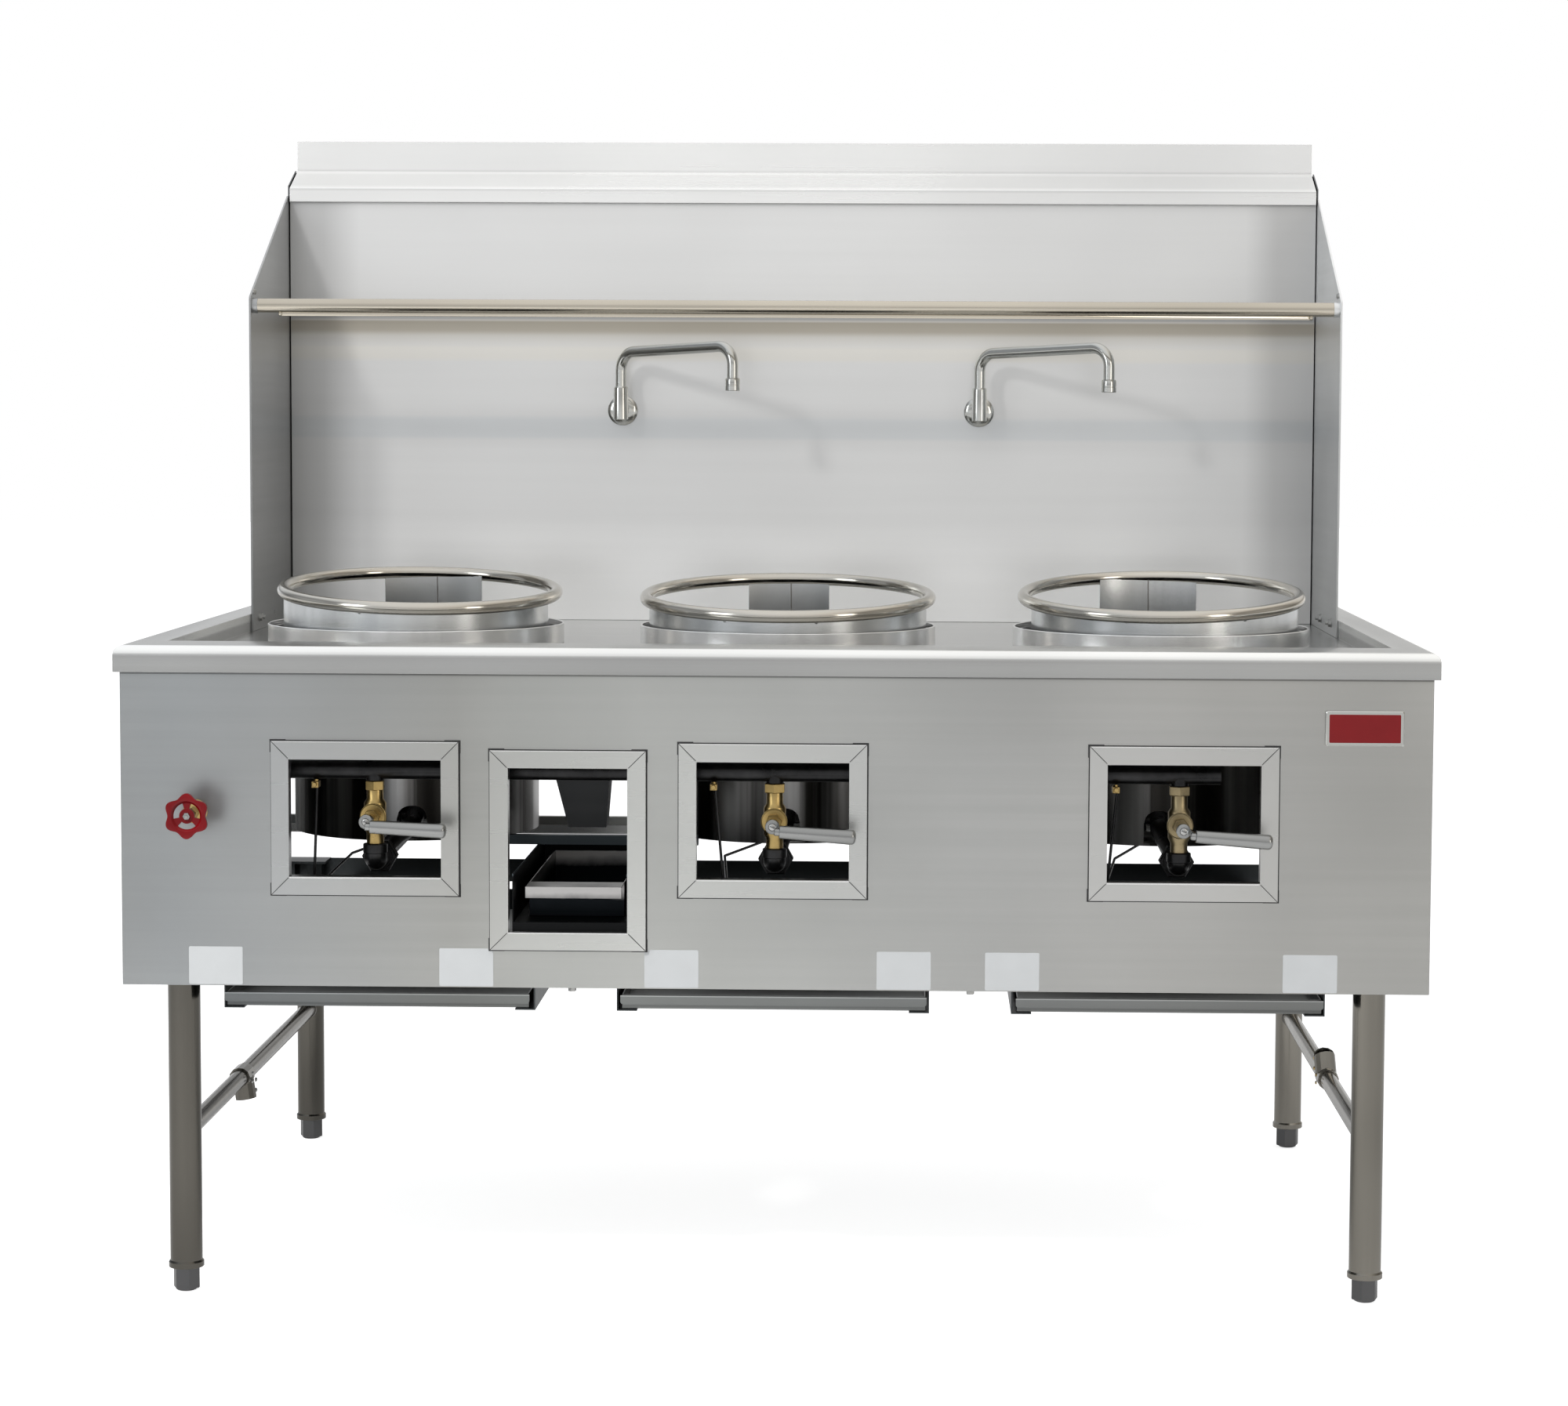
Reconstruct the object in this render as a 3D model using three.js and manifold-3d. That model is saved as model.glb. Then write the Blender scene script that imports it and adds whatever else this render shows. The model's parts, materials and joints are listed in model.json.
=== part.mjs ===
// Three-burner wok range, stainless, with riser, swing faucets and drip trays.
// Millimetres. X to the right seen from the front, Y into the depth, Z up.
// While modelling, Y = 0 is the front of the rim and Z = 0 the floor.
import * as THREE from 'three';
import { mergeVertices } from 'three/addons/utils/BufferGeometryUtils.js';
import Module from 'manifold-3d';

const wasm = await Module();
wasm.setup();
const { Manifold, Mesh: SolidMesh } = wasm;

// ---------------------------------------------------------------- sizes
const RANGE_W = 1830;       // over the side rims
const RANGE_D = 1127;       // rim front to riser back
const RIM_TOP = 914;
const RIM_H = 37;           // height of the rim skirt
const NOSE_R = 13;          // bullnose radius
const LEDGE = 100;          // depth of the front ledge
const SIDE_RIM = 54.7;      // width of the side rims
const DECK_DROP = 28;       // sunken deck below the rim
const SHEET = 2;
const GAP = 0.3;            // clearance between pieces that touch

const FACE_IN = 4;          // body front behind the rim front
const SIDE_IN = 8.5;        // body side inside the rim side
const BODY_BOT = 440.5;
const CORNER_R = 2.5;
const RETURN = 15;          // bottom return of the shell

const BURNER_PITCH = (RANGE_W - 132) / 3;
const BURNER_Y = 506;
const COLLAR_OD = 448;
const COLLAR_H = 30;
const LINER_R = 214.5;
const CHAMBER_OD = 370;
const CHAMBER_BOT = 604;
const CHAMBER_FLOOR = 606;
const ARCH_W = 45;
const ARCH_TOP = 656;
const ARCH_X = [18, 3, -12]; // arches off the burner centres
const RING_ROD = 19;        // rod of the wok rings
// outer diameter, centre height, tilt to the front and to the right, shift of
// the hoop and of the skirt, skirt diameter, ends of the rear tab
const RINGS = [
  { tag: 'left', od: 431.5, z: RIM_TOP + 51.2, tilt: 4.5, roll: 1.2, hoop: 5.8, dx: 0, skirt: 401,
    tab: [-76.5, 77] },
  { tag: 'mid', od: 449, z: RIM_TOP + 43.7, tilt: 4.5, roll: 0, hoop: 0, dx: 0, skirt: 421,
    tab: [-69.5, 58] },
  { tag: 'right', od: 435, z: RIM_TOP + 48, tilt: 5.3, roll: -0.45, hoop: -5.1, dx: 5.5, skirt: 403,
    tab: [-89, 63.5] },
];
const SKIRT_CUT_Z = RIM_TOP + 8; // top of the skirt at the back, either side of the tab

const RISER_D = 71;         // depth of the riser box
const CAP_LIP_Z = 1583;
const CAP_LIP_H = 23;
const CAP_OUT = 8;          // cap lip in front of the backsplash
const CAP_BACK_Z = 1639;
const CAP_UP = 50;          // rear upstand of the cap
const WING_T = 3;
const WING_Y = RANGE_D - 411; // front edge of the wings
const WING_TOP = 1415;
const WING_TIP = 1593;

const RAIL_OD = 22.5;
const RAIL_Y = WING_Y + 16;
const RAIL_Z = WING_TOP - 13;
const CUP_L = 9;
const FAUCET_X = BURNER_PITCH / 2 + 15;
const FAUCET_Z = 1238;
const FAUCET_OUT = 41;      // faucet axis in front of the wall
const SPOUT_OD = 18;
const SPOUT_Z = FAUCET_Z + 96;
const SPOUTS = [
  { tag: 'left', side: -1, reach: 254, swing: 50, rise: 10 },
  { tag: 'right', side: 1, reach: 260, swing: 52.2, rise: 10 },
];

const WIN = { z: 676, ow: 260, oh: 214, iw: 211, ih: 163 };
const WINDOWS = [
  { tag: 'left', x: -BURNER_PITCH, valve: 5 - BURNER_PITCH, vz: 674, hx: 0 },
  { tag: 'mid', x: -1.5, valve: -1, vz: 671, hx: 0 },
  { tag: 'right', x: BURNER_PITCH - 1, valve: BURNER_PITCH - 3, vz: 669, hx: 3 },
];
const PAN_WIN = { x: -BURNER_PITCH / 2 - 2, z: 633, ow: 216, oh: 278, iw: 165, ih: 229 };
const FRAME_PROUD = 6;      // frame face in front of the body face
const FRAME_RETURN = 14;    // inner return behind the body face

const MANIFOLD_OD = 26.7;
const MANIFOLD_Z = 738;
const GAS_Y = 60;
const STEM_Y = -26;         // front of the lever eye
const LEVER_Y = -58;
const LEVER_L = 105;
const LEVERS = [2.9, 3.7, 4.2];
const PIPE_Z = 611;
const PIPE_OD = 27;

const WHEEL = { x: 113 - RANGE_W / 2, z: 684, tip: 31.5, waist: 26, y: -58 };

const PAN = { x: PAN_WIN.x + 6, w: 134, rim: 580, h: 47, front: 18, lip: 50, back: 410 };
// pan rack and the reach of its hangers
const RACK = { x: PAN_WIN.x + 2, w: 160, depth: 411, top: PAN.rim + 19, out: 157 };
const CHUTE = {
  x: PAN.x, w: 76, y: 180, d: 56, zTop: PAN.rim + 136, zBot: PAN.rim + 66, wBot: 54, xBot: PAN.x + 6,
    dBot: 36,
};
const REAR_RAIL = { z: 515, h: 31, t: 12 }; // stiffener across the open back

const TRAY_PITCH = BURNER_PITCH - 19;
const TRAY_RAIL_W = 433.5;
const TRAY_RAIL_H = 31.2;
const TRAY_LIP_W = 425;
const TRAYS = [
  { tag: 'left', k: -1, dx: -3.4 },
  { tag: 'mid', k: 0, dx: 0.9 },
  { tag: 'right', k: 1, dx: 2.1 },
];
const TRAY_L = RANGE_D - 137;

const LEG_OD = 45;
const LEG_X = RANGE_W / 2 - 86;
const LEG_Y1 = 45.5;
const LEG_Y2 = RANGE_D - 73.5;
const FRAME_H = 36;         // height of the base angles
const COLLAR_LEG_OD = 49.4;
const FOOT_H = 33.5;
const STEM_D = 12;
const BRACE_OD = 26;
const BRACE_Z = 224;

// ---------------------------------------------------------------- worked out
const HALF = RANGE_W / 2;
const DECK_Z = RIM_TOP - DECK_DROP;
const UNDER_DECK = DECK_Z - SHEET;
const RIM_IN = HALF - SIDE_RIM;
const BODY_X = HALF - SIDE_IN;
const WALL_Y = RANGE_D - RISER_D;
const WING_OUT = RIM_IN - GAP;
const WING_IN = WING_OUT - WING_T;
const ON_DECK = DECK_Z + GAP;
// the shell stops under the inside of the bullnose
const SHELL_TOP = RIM_TOP - NOSE_R + Math.sqrt((NOSE_R - SHEET) ** 2 - (NOSE_R - FACE_IN) ** 2) - GAP - 0.5;

// ---------------------------------------------------------------- helpers
const LEG_SEG = 12;         // legs and their sockets turn on the same facets
const V = (x, y, z) => new THREE.Vector3(x, y, z);
const RAD = Math.PI / 180;
const onCircle = (r, deg) => [r * Math.cos(deg * RAD), r * Math.sin(deg * RAD)];

function solid(geo) {
  for (const k of Object.keys(geo.attributes)) if (k !== 'position') geo.deleteAttribute(k);
  const g = mergeVertices(geo, 1e-4);
  const p = g.attributes.position.array;
  const src = g.index.array;
  const tri = [];
  let vol = 0;
  for (let i = 0; i < src.length; i += 3) {
    const [a, b, c] = [src[i], src[i + 1], src[i + 2]];
    if (a === b || b === c || c === a) continue;
    tri.push(a, b, c);
    const A = V(p[3 * a], p[3 * a + 1], p[3 * a + 2]);
    const B = V(p[3 * b], p[3 * b + 1], p[3 * b + 2]);
    const C = V(p[3 * c], p[3 * c + 1], p[3 * c + 2]);
    vol += A.dot(B.cross(C));
  }
  if (vol < 0) for (let i = 0; i < tri.length; i += 3) [tri[i], tri[i + 1]] = [tri[i + 1], tri[i]];
  const m = new Manifold(new SolidMesh({
    numProp: 3, vertProperties: new Float32Array(p), triVerts: new Uint32Array(tri),
  }));
  if (m.isEmpty()) throw new Error('empty solid');
  return m;
}

// outline with rounded corners: points are [x, y, radius]
function outline(pts, seg = 4) {
  const n = pts.length;
  const out = [];
  for (let i = 0; i < n; i++) {
    const [x, y, r = 0] = pts[i];
    const P = new THREE.Vector2(x, y);
    if (!r) {
      out.push(P);
      continue;
    }
    const a = pts[(i + n - 1) % n];
    const b = pts[(i + 1) % n];
    const u = new THREE.Vector2(a[0] - x, a[1] - y).normalize();
    const w = new THREE.Vector2(b[0] - x, b[1] - y).normalize();
    const half = Math.acos(Math.max(-1, Math.min(1, u.dot(w)))) / 2;
    const t = r / Math.tan(half);
    const c = u.clone().add(w).normalize().multiplyScalar(r / Math.sin(half)).add(P);
    const s = P.clone().addScaledVector(u, t);
    const e = P.clone().addScaledVector(w, t);
    const a0 = Math.atan2(s.y - c.y, s.x - c.x);
    let d = Math.atan2(e.y - c.y, e.x - c.x) - a0;
    if (d > Math.PI) d -= 2 * Math.PI;
    if (d < -Math.PI) d += 2 * Math.PI;
    for (let k = 0; k <= seg; k++) {
      const q = a0 + (d * k) / seg;
      out.push(new THREE.Vector2(c.x + r * Math.cos(q), c.y + r * Math.sin(q)));
    }
  }
  return out;
}

const rect = (x0, y0, x1, y1, r = 0) => [[x0, y0, r], [x1, y0, r], [x1, y1, r], [x0, y1, r]];

function extrude(pts, len, holes = [], seg = 4) {
  const s = new THREE.Shape(outline(pts, seg));
  for (const h of holes) s.holes.push(new THREE.Path(outline(h, seg)));
  return new THREE.ExtrudeGeometry(s, { depth: len, bevelEnabled: false, steps: 1 });
}

const placed = (g, x, y, z) => g.applyMatrix4(new THREE.Matrix4().makeBasis(x, y, z));
// profile in (Y, Z) run along X
const alongX = (pts, x0, x1, holes, seg) =>
  solid(placed(extrude(pts, x1 - x0, holes, seg), V(0, 1, 0), V(0, 0, 1), V(1, 0, 0))).translate([x0, 0, 0]);
// profile in (X, Z) run along Y
const alongY = (pts, y0, y1, holes, seg) =>
  solid(placed(extrude(pts, y1 - y0, holes, seg), V(1, 0, 0), V(0, 0, 1), V(0, -1, 0))).translate([0, y1, 0]);
// profile in (X, Y) run along Z
const alongZ = (pts, z0, z1, holes, seg) => solid(extrude(pts, z1 - z0, holes, seg)).translate([0, 0, z0]);
const box = (x0, x1, y0, y1, z0, z1) => alongZ(rect(x0, y0, x1, y1), z0, z1);

// turned profile of [radius, station]; it starts and ends on the axis or closes on itself
function turned(pts, seg = 32, axis = 'z') {
  const p = pts.map(([r, s]) => new THREE.Vector2(r, s));
  if (p[0].x > 0 || p[p.length - 1].x > 0) p.push(p[0].clone());
  const g = new THREE.LatheGeometry(p, seg);
  for (const k of Object.keys(g.attributes)) if (k !== 'position') g.deleteAttribute(k);
  const m = mergeVertices(g, 1e-4);
  if (axis === 'z') placed(m, V(1, 0, 0), V(0, 0, 1), V(0, -1, 0));
  if (axis === 'x') placed(m, V(0, -1, 0), V(1, 0, 0), V(0, 0, 1));
  return solid(m);
}
const rod = (r, s0, s1, seg, axis) => turned([[0, s0], [r, s0], [r, s1], [0, s1]], seg, axis);
const tube = (r, ri, s0, s1, seg, axis) => turned([[ri, s0], [r, s0], [r, s1], [ri, s1]], seg, axis);

function hex(af, s0, s1, axis = 'z', turn = 0) {
  const R = af / Math.sqrt(3);
  const pts = [];
  for (let i = 0; i < 6; i++) pts.push(onCircle(R, 60 * i + turn));
  if (axis === 'x') return alongX(pts, s0, s1);
  if (axis === 'y') return alongY(pts, s0, s1);
  return alongZ(pts, s0, s1);
}

// centre line with rounded bends
function route(corners, bend, steps = 5) {
  const out = [corners[0].clone()];
  for (let i = 1; i < corners.length - 1; i++) {
    const P = corners[i];
    const u = corners[i - 1].clone().sub(P);
    const w = corners[i + 1].clone().sub(P);
    const lim = Math.min(u.length(), w.length()) * 0.49;
    u.normalize();
    w.normalize();
    const half = Math.acos(Math.max(-1, Math.min(1, u.dot(w)))) / 2;
    if (half > 1.565) {
      out.push(P.clone());
      continue;
    }
    const t = Math.min(bend / Math.tan(half), lim);
    const r = t * Math.tan(half);
    const c = u.clone().add(w).normalize().multiplyScalar(r / Math.sin(half)).add(P);
    const s = P.clone().addScaledVector(u, t).sub(c);
    const e = P.clone().addScaledVector(w, t).sub(c);
    const ang = s.angleTo(e);
    const ax = s.clone().cross(e).normalize();
    for (let k = 0; k <= steps; k++) out.push(s.clone().applyAxisAngle(ax, (ang * k) / steps).add(c));
  }
  out.push(corners[corners.length - 1].clone());
  return out;
}

function sweep(points, r, seg = 12) {
  const n = points.length;
  const pos = [];
  const idx = [];
  const rad = (i) => (Array.isArray(r) ? r[i] : r);
  let t0 = points[1].clone().sub(points[0]).normalize();
  let nrm = Math.abs(t0.z) < 0.9 ? V(0, 0, 1) : V(1, 0, 0);
  nrm.addScaledVector(t0, -nrm.dot(t0)).normalize();
  for (let i = 0; i < n; i++) {
    const before = i > 0 ? points[i].clone().sub(points[i - 1]).normalize() : null;
    const after = i < n - 1 ? points[i + 1].clone().sub(points[i]).normalize() : null;
    const t = before && after ? before.clone().add(after).normalize() : (before || after).clone();
    nrm.applyQuaternion(new THREE.Quaternion().setFromUnitVectors(t0, t));
    nrm.addScaledVector(t, -nrm.dot(t)).normalize();
    t0 = t;
    const bi = t.clone().cross(nrm);
    for (let k = 0; k < seg; k++) {
      const a = (2 * Math.PI * k) / seg;
      const q = points[i].clone().addScaledVector(nrm, rad(i) * Math.cos(a)).addScaledVector(bi,
        rad(i) * Math.sin(a));
      pos.push(q.x, q.y, q.z);
    }
  }
  for (let i = 0; i < n - 1; i++) {
    for (let k = 0; k < seg; k++) {
      const a = i * seg + k;
      const b = i * seg + ((k + 1) % seg);
      idx.push(a, b, b + seg, a, b + seg, a + seg);
    }
  }
  for (let k = 1; k < seg - 1; k++) {
    idx.push(0, k + 1, k);
    const e = (n - 1) * seg;
    idx.push(e, e + k, e + k + 1);
  }
  const g = new THREE.BufferGeometry();
  g.setAttribute('position', new THREE.Float32BufferAttribute(pos, 3));
  g.setIndex(idx);
  return solid(g);
}

// four-sided hopper between two rectangles
function hopper(a, za, b, zb) {
  const pos = [];
  for (const [q, z] of [[a, za], [b, zb]]) {
    pos.push(q[0], q[2], z, q[1], q[2], z, q[1], q[3], z, q[0], q[3], z);
  }
  const idx = [0, 2, 1, 0, 3, 2, 4, 5, 6, 4, 6, 7];
  for (let k = 0; k < 4; k++) {
    const l = (k + 1) % 4;
    idx.push(k, l, l + 4, k, l + 4, k + 4);
  }
  const g = new THREE.BufferGeometry();
  g.setAttribute('position', new THREE.Float32BufferAttribute(pos, 3));
  g.setIndex(idx);
  return solid(g);
}

const join = (...s) => s.reduce((a, b) => a.add(b));
const mirrorX = (s) => s.mirror([1, 0, 0]);

const group = new THREE.Group();
group.name = 'wok_range';
const MATS = {
  steel: 0xb9bcbd, dark_steel: 0x4a4c4e, polished: 0xc9c5bd, iron: 0x26272a, brass: 0xc39a4c,
  alloy: 0xd8d9da, red: 0xb5101c, foot: 0x55575a,
};
const nodes = [];
const put = (name, s, mat = 'steel') => nodes.push({ name, s, mat });

// ---------------------------------------------------------------- deck
{
  const zLow = RIM_TOP - RIM_H;
  const nose = (inset, r, z0, z1) => join(
    alongX([[inset, z0], [RANGE_D - inset, z0], [RANGE_D - inset, z1], [inset, z1, r]], -HALF + inset,
      HALF - inset, [], 4)
  ).intersect(
    alongY([[-HALF + inset, z0], [HALF - inset, z0], [HALF - inset, z1, r], [-HALF + inset, z1, r]],
      inset, RANGE_D - inset, [], 4));
  const outer = nose(0, NOSE_R, zLow, RIM_TOP);
  const inner = nose(SHEET, NOSE_R - SHEET, zLow - 1, RIM_TOP - SHEET);
  const tub = box(-RIM_IN - SHEET, RIM_IN + SHEET, LEDGE - SHEET, RANGE_D, UNDER_DECK, RIM_TOP);
  const pocket = box(-RIM_IN, RIM_IN, LEDGE, RANGE_D + 1, DECK_Z, RIM_TOP + 1);
  let d = outer.subtract(inner.subtract(tub)).subtract(pocket);
  for (const k of [-1, 0, 1]) d = d.subtract(rod(CHAMBER_OD / 2 - 1.5, UNDER_DECK - 1, DECK_Z + 1,
    20).translate([k * BURNER_PITCH, BURNER_Y, 0]));
  const cw = CHUTE.w / 2 - 3;
  const cd = CHUTE.d / 2 - 3;
  d = d.subtract(box(CHUTE.x - cw, CHUTE.x + cw, CHUTE.y - cd, CHUTE.y + cd, UNDER_DECK - 1, DECK_Z + 1));
  put('deck', d);
}

// ---------------------------------------------------------------- body shell
const winHole = (w, fx) => {
  const g = SHEET + GAP;
  return alongY(rect(fx - w.iw / 2 - g, w.z - w.ih / 2 - g, fx + w.iw / 2 + g, w.z + w.ih / 2 + g),
    FACE_IN - 1, FACE_IN + SHEET + 1);
};
{
  const y1 = RANGE_D - SHEET;
  const plan = (k, r) => [[-BODY_X + k, FACE_IN + k, r], [BODY_X - k, FACE_IN + k, r],
    [BODY_X - k, y1 + (k ? 5 : 0)], [-BODY_X + k, y1 + (k ? 5 : 0)]];
  let s = alongZ(plan(0, CORNER_R), BODY_BOT, SHELL_TOP, [],
    2).subtract(alongZ(plan(SHEET, CORNER_R - SHEET), BODY_BOT - 1, SHELL_TOP + 1, [], 2));
  const ret = RETURN;
  const seam = FACE_IN + ret;
  s = join(s,
    box(-BODY_X + SHEET / 2, BODY_X - SHEET / 2, FACE_IN + SHEET / 2, seam + 1, BODY_BOT, BODY_BOT + SHEET),
    box(-BODY_X + SHEET / 2, -BODY_X + ret, FACE_IN + SHEET, y1, BODY_BOT, BODY_BOT + SHEET),
    box(BODY_X - ret, BODY_X - SHEET / 2, FACE_IN + SHEET, y1, BODY_BOT, BODY_BOT + SHEET));
  for (const w of WINDOWS) s = s.subtract(winHole(WIN, w.x));
  s = s.subtract(winHole(PAN_WIN, PAN_WIN.x));
  s = s.subtract(rod(11 + 2 * GAP, 0, 12, 12, 'y').translate([WHEEL.x, 0, WHEEL.z]));
  // the front panel folds round the corners and meets the sides behind them
  const ahead = box(-HALF, HALF, -1, seam, BODY_BOT - 1, RIM_TOP);
  put('front_panel', s.intersect(ahead));
  const rr = REAR_RAIL;
  s = s.subtract(box(-HALF, HALF, -1, seam + GAP, BODY_BOT - 1, RIM_TOP))
    .subtract(box(-BODY_X + ret, BODY_X - ret, seam, seam + 3, BODY_BOT - 1, BODY_BOT + SHEET + 1));
  s = join(s, box(-BODY_X + 1, BODY_X - 1, y1 - SHEET, y1, rr.z, rr.z + rr.h),
    box(-BODY_X + 1, BODY_X - 1, y1 - rr.t, y1, rr.z + rr.h - SHEET, rr.z + rr.h));
  put('body_shell', s);
}

// ---------------------------------------------------------------- window frames
function windowFrame(w, fx) {
  const y0 = FACE_IN - FRAME_PROUD;
  const R = (dw, dh) => rect(fx - dw / 2, w.z - dh / 2, fx + dw / 2, w.z + dh / 2);
  let f = join(
    alongY(R(w.ow, w.oh), y0, y0 + SHEET, [R(w.iw, w.ih)]),
    alongY(R(w.ow, w.oh), y0, FACE_IN - GAP, [R(w.ow - 2 * SHEET, w.oh - 2 * SHEET)]),
    alongY(R(w.iw + 2 * SHEET, w.ih + 2 * SHEET), y0, FACE_IN + FRAME_RETURN, [R(w.iw, w.ih)]));
  // mitre seams across the four corners
  const sw = 0.6;
  for (const [sx, sz] of [[1, 1], [1, -1], [-1, 1], [-1, -1]]) {
    const a = new THREE.Vector2(fx + (sx * w.iw) / 2, w.z + (sz * w.ih) / 2);
    const b = new THREE.Vector2(fx + (sx * w.ow) / 2, w.z + (sz * w.oh) / 2);
    const t = b.clone().sub(a).normalize();
    const n = new THREE.Vector2(-t.y, t.x).multiplyScalar(sw / 2);
    a.addScaledVector(t, -1);
    b.addScaledVector(t, 1);
    f = f.subtract(alongY([[a.x - n.x, a.y - n.y], [b.x - n.x, b.y - n.y], [b.x + n.x, b.y + n.y],
      [a.x + n.x, a.y + n.y]], y0 - 1, y0 + 0.6));
  }
  return f;
}
for (const w of WINDOWS) put(`window_frame_${w.tag}`, windowFrame(WIN, w.x));
put('pan_window_frame', windowFrame(PAN_WIN, PAN_WIN.x));

// ---------------------------------------------------------------- base frame with the tray rails
const trayX = (t) => t.k * TRAY_PITCH - 0.75;
const RAIL_TOP = BODY_BOT - GAP;
const TRAY_FLOOR = RAIL_TOP - TRAY_RAIL_H + SHEET;
{
  const A = SHEET;
  const x1 = BODY_X - SHEET - GAP;
  const y0 = FACE_IN + SHEET + GAP;
  const z0 = BODY_BOT + SHEET + GAP;
  const z1 = BODY_BOT + FRAME_H;
  const yr = LEG_Y2 + LEG_OD / 2 + 3;
  const low = BODY_X - RETURN - GAP;
  const side = (s) => join(
    alongY([[s * x1, z0], [s * x1, z1], [s * (x1 - A), z1], [s * (x1 - A), z0 + A],
      [s * (x1 - 30), z0 + A], [s * (x1 - 30), z0]], y0, yr + A));
  let f = join(
    // front angle, and a strip that steps down behind the return of the shell
    alongX([[y0, z0], [y0 + 34, z0], [y0 + 34, z0 + A], [y0 + A, z0 + A], [y0 + A, z1], [y0, z1]], -x1, x1),
    box(-low, low, FACE_IN + RETURN + GAP, y0 + 34, RAIL_TOP - A, z0 + A),
    side(1), side(-1),
    // rear rail
    alongX([[yr, z0], [yr + 32, z0], [yr + 32, z0 + A], [yr + A, z0 + A], [yr + A, z1], [yr, z1]], -x1, x1),
    box(-low, low, yr, yr + 32, RAIL_TOP - A, z0 + A));
  for (const y of [330, 760]) f = f.add(box(-x1 + 0.5, x1 - 0.5, y, y + 4, z0, z1 - 6)).add(box(-low, low,
    y, y + 4, RAIL_TOP - A, z0 + 1));
  // corner plates with the leg sockets
  for (const s of [-1, 1]) for (const [ly, e] of [[LEG_Y1, -1], [LEG_Y2, 1]]) {
    const lx = s * LEG_X;
    const in0 = lx - s * 32;
    const far = s * (x1 - 1);
    const edge = e < 0 ? y0 + 1 : yr + 1;
    const back = ly - e * 34;
    f = f.add(box(Math.min(in0, far), Math.max(in0, far), Math.min(edge, back), Math.max(edge, back),
      z1 - A - 1, z1 + 1));
    f = f.add(tube(LEG_OD / 2 + GAP + 3, LEG_OD / 2 + GAP, z0, z1, LEG_SEG).translate([lx, ly, 0]));
    f = f.subtract(rod(LEG_OD / 2 + GAP, RAIL_TOP - 5, z1 - A - 1, LEG_SEG).translate([lx, ly, 0]));
  }
  // tray rails: channels open to the inside
  const zt = RAIL_TOP;
  const zb = RAIL_TOP - TRAY_RAIL_H;
  for (const t of TRAYS) for (const s of [-1, 1]) {
    const xo = trayX(t) + (s * TRAY_RAIL_W) / 2;
    const q = (d) => xo - s * d;
    f = f.add(alongY([[q(0), zb], [q(28), zb], [q(28), zb + A], [q(A), zb + A], [q(A), zt], [q(0), zt]],
      FACE_IN + 2, yr + A));
  }
  put('base_frame', f, 'dark_steel');
}

// ---------------------------------------------------------------- drip trays
for (const t of TRAYS) {
  const cx = trayX(t) + t.dx;
  const w = TRAY_RAIL_W / 2 - SHEET - 4;
  const y0 = 12;
  const y1 = y0 + TRAY_L;
  const zb = TRAY_FLOOR + GAP;
  const zt = RAIL_TOP - 9;
  const T = 1.5;
  const lipY = FACE_IN - 1.5;
  let s = box(cx - w, cx + w, y0, y1, zb,
    zt).subtract(box(cx - w + T, cx + w - T, y0 + T, y1 - T, zb + T, zt + 1));
  s = join(s,
    box(cx - w, cx + w, lipY, y0 + T, zt - T, zt),
    alongY([[cx - TRAY_LIP_W / 2, zt - 12.5, 4], [cx + TRAY_LIP_W / 2, zt - 12.5, 4],
      [cx + TRAY_LIP_W / 2, zt], [cx - TRAY_LIP_W / 2, zt]], lipY, lipY + T));
  put(`tray_${t.tag}`, s);
}

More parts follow.
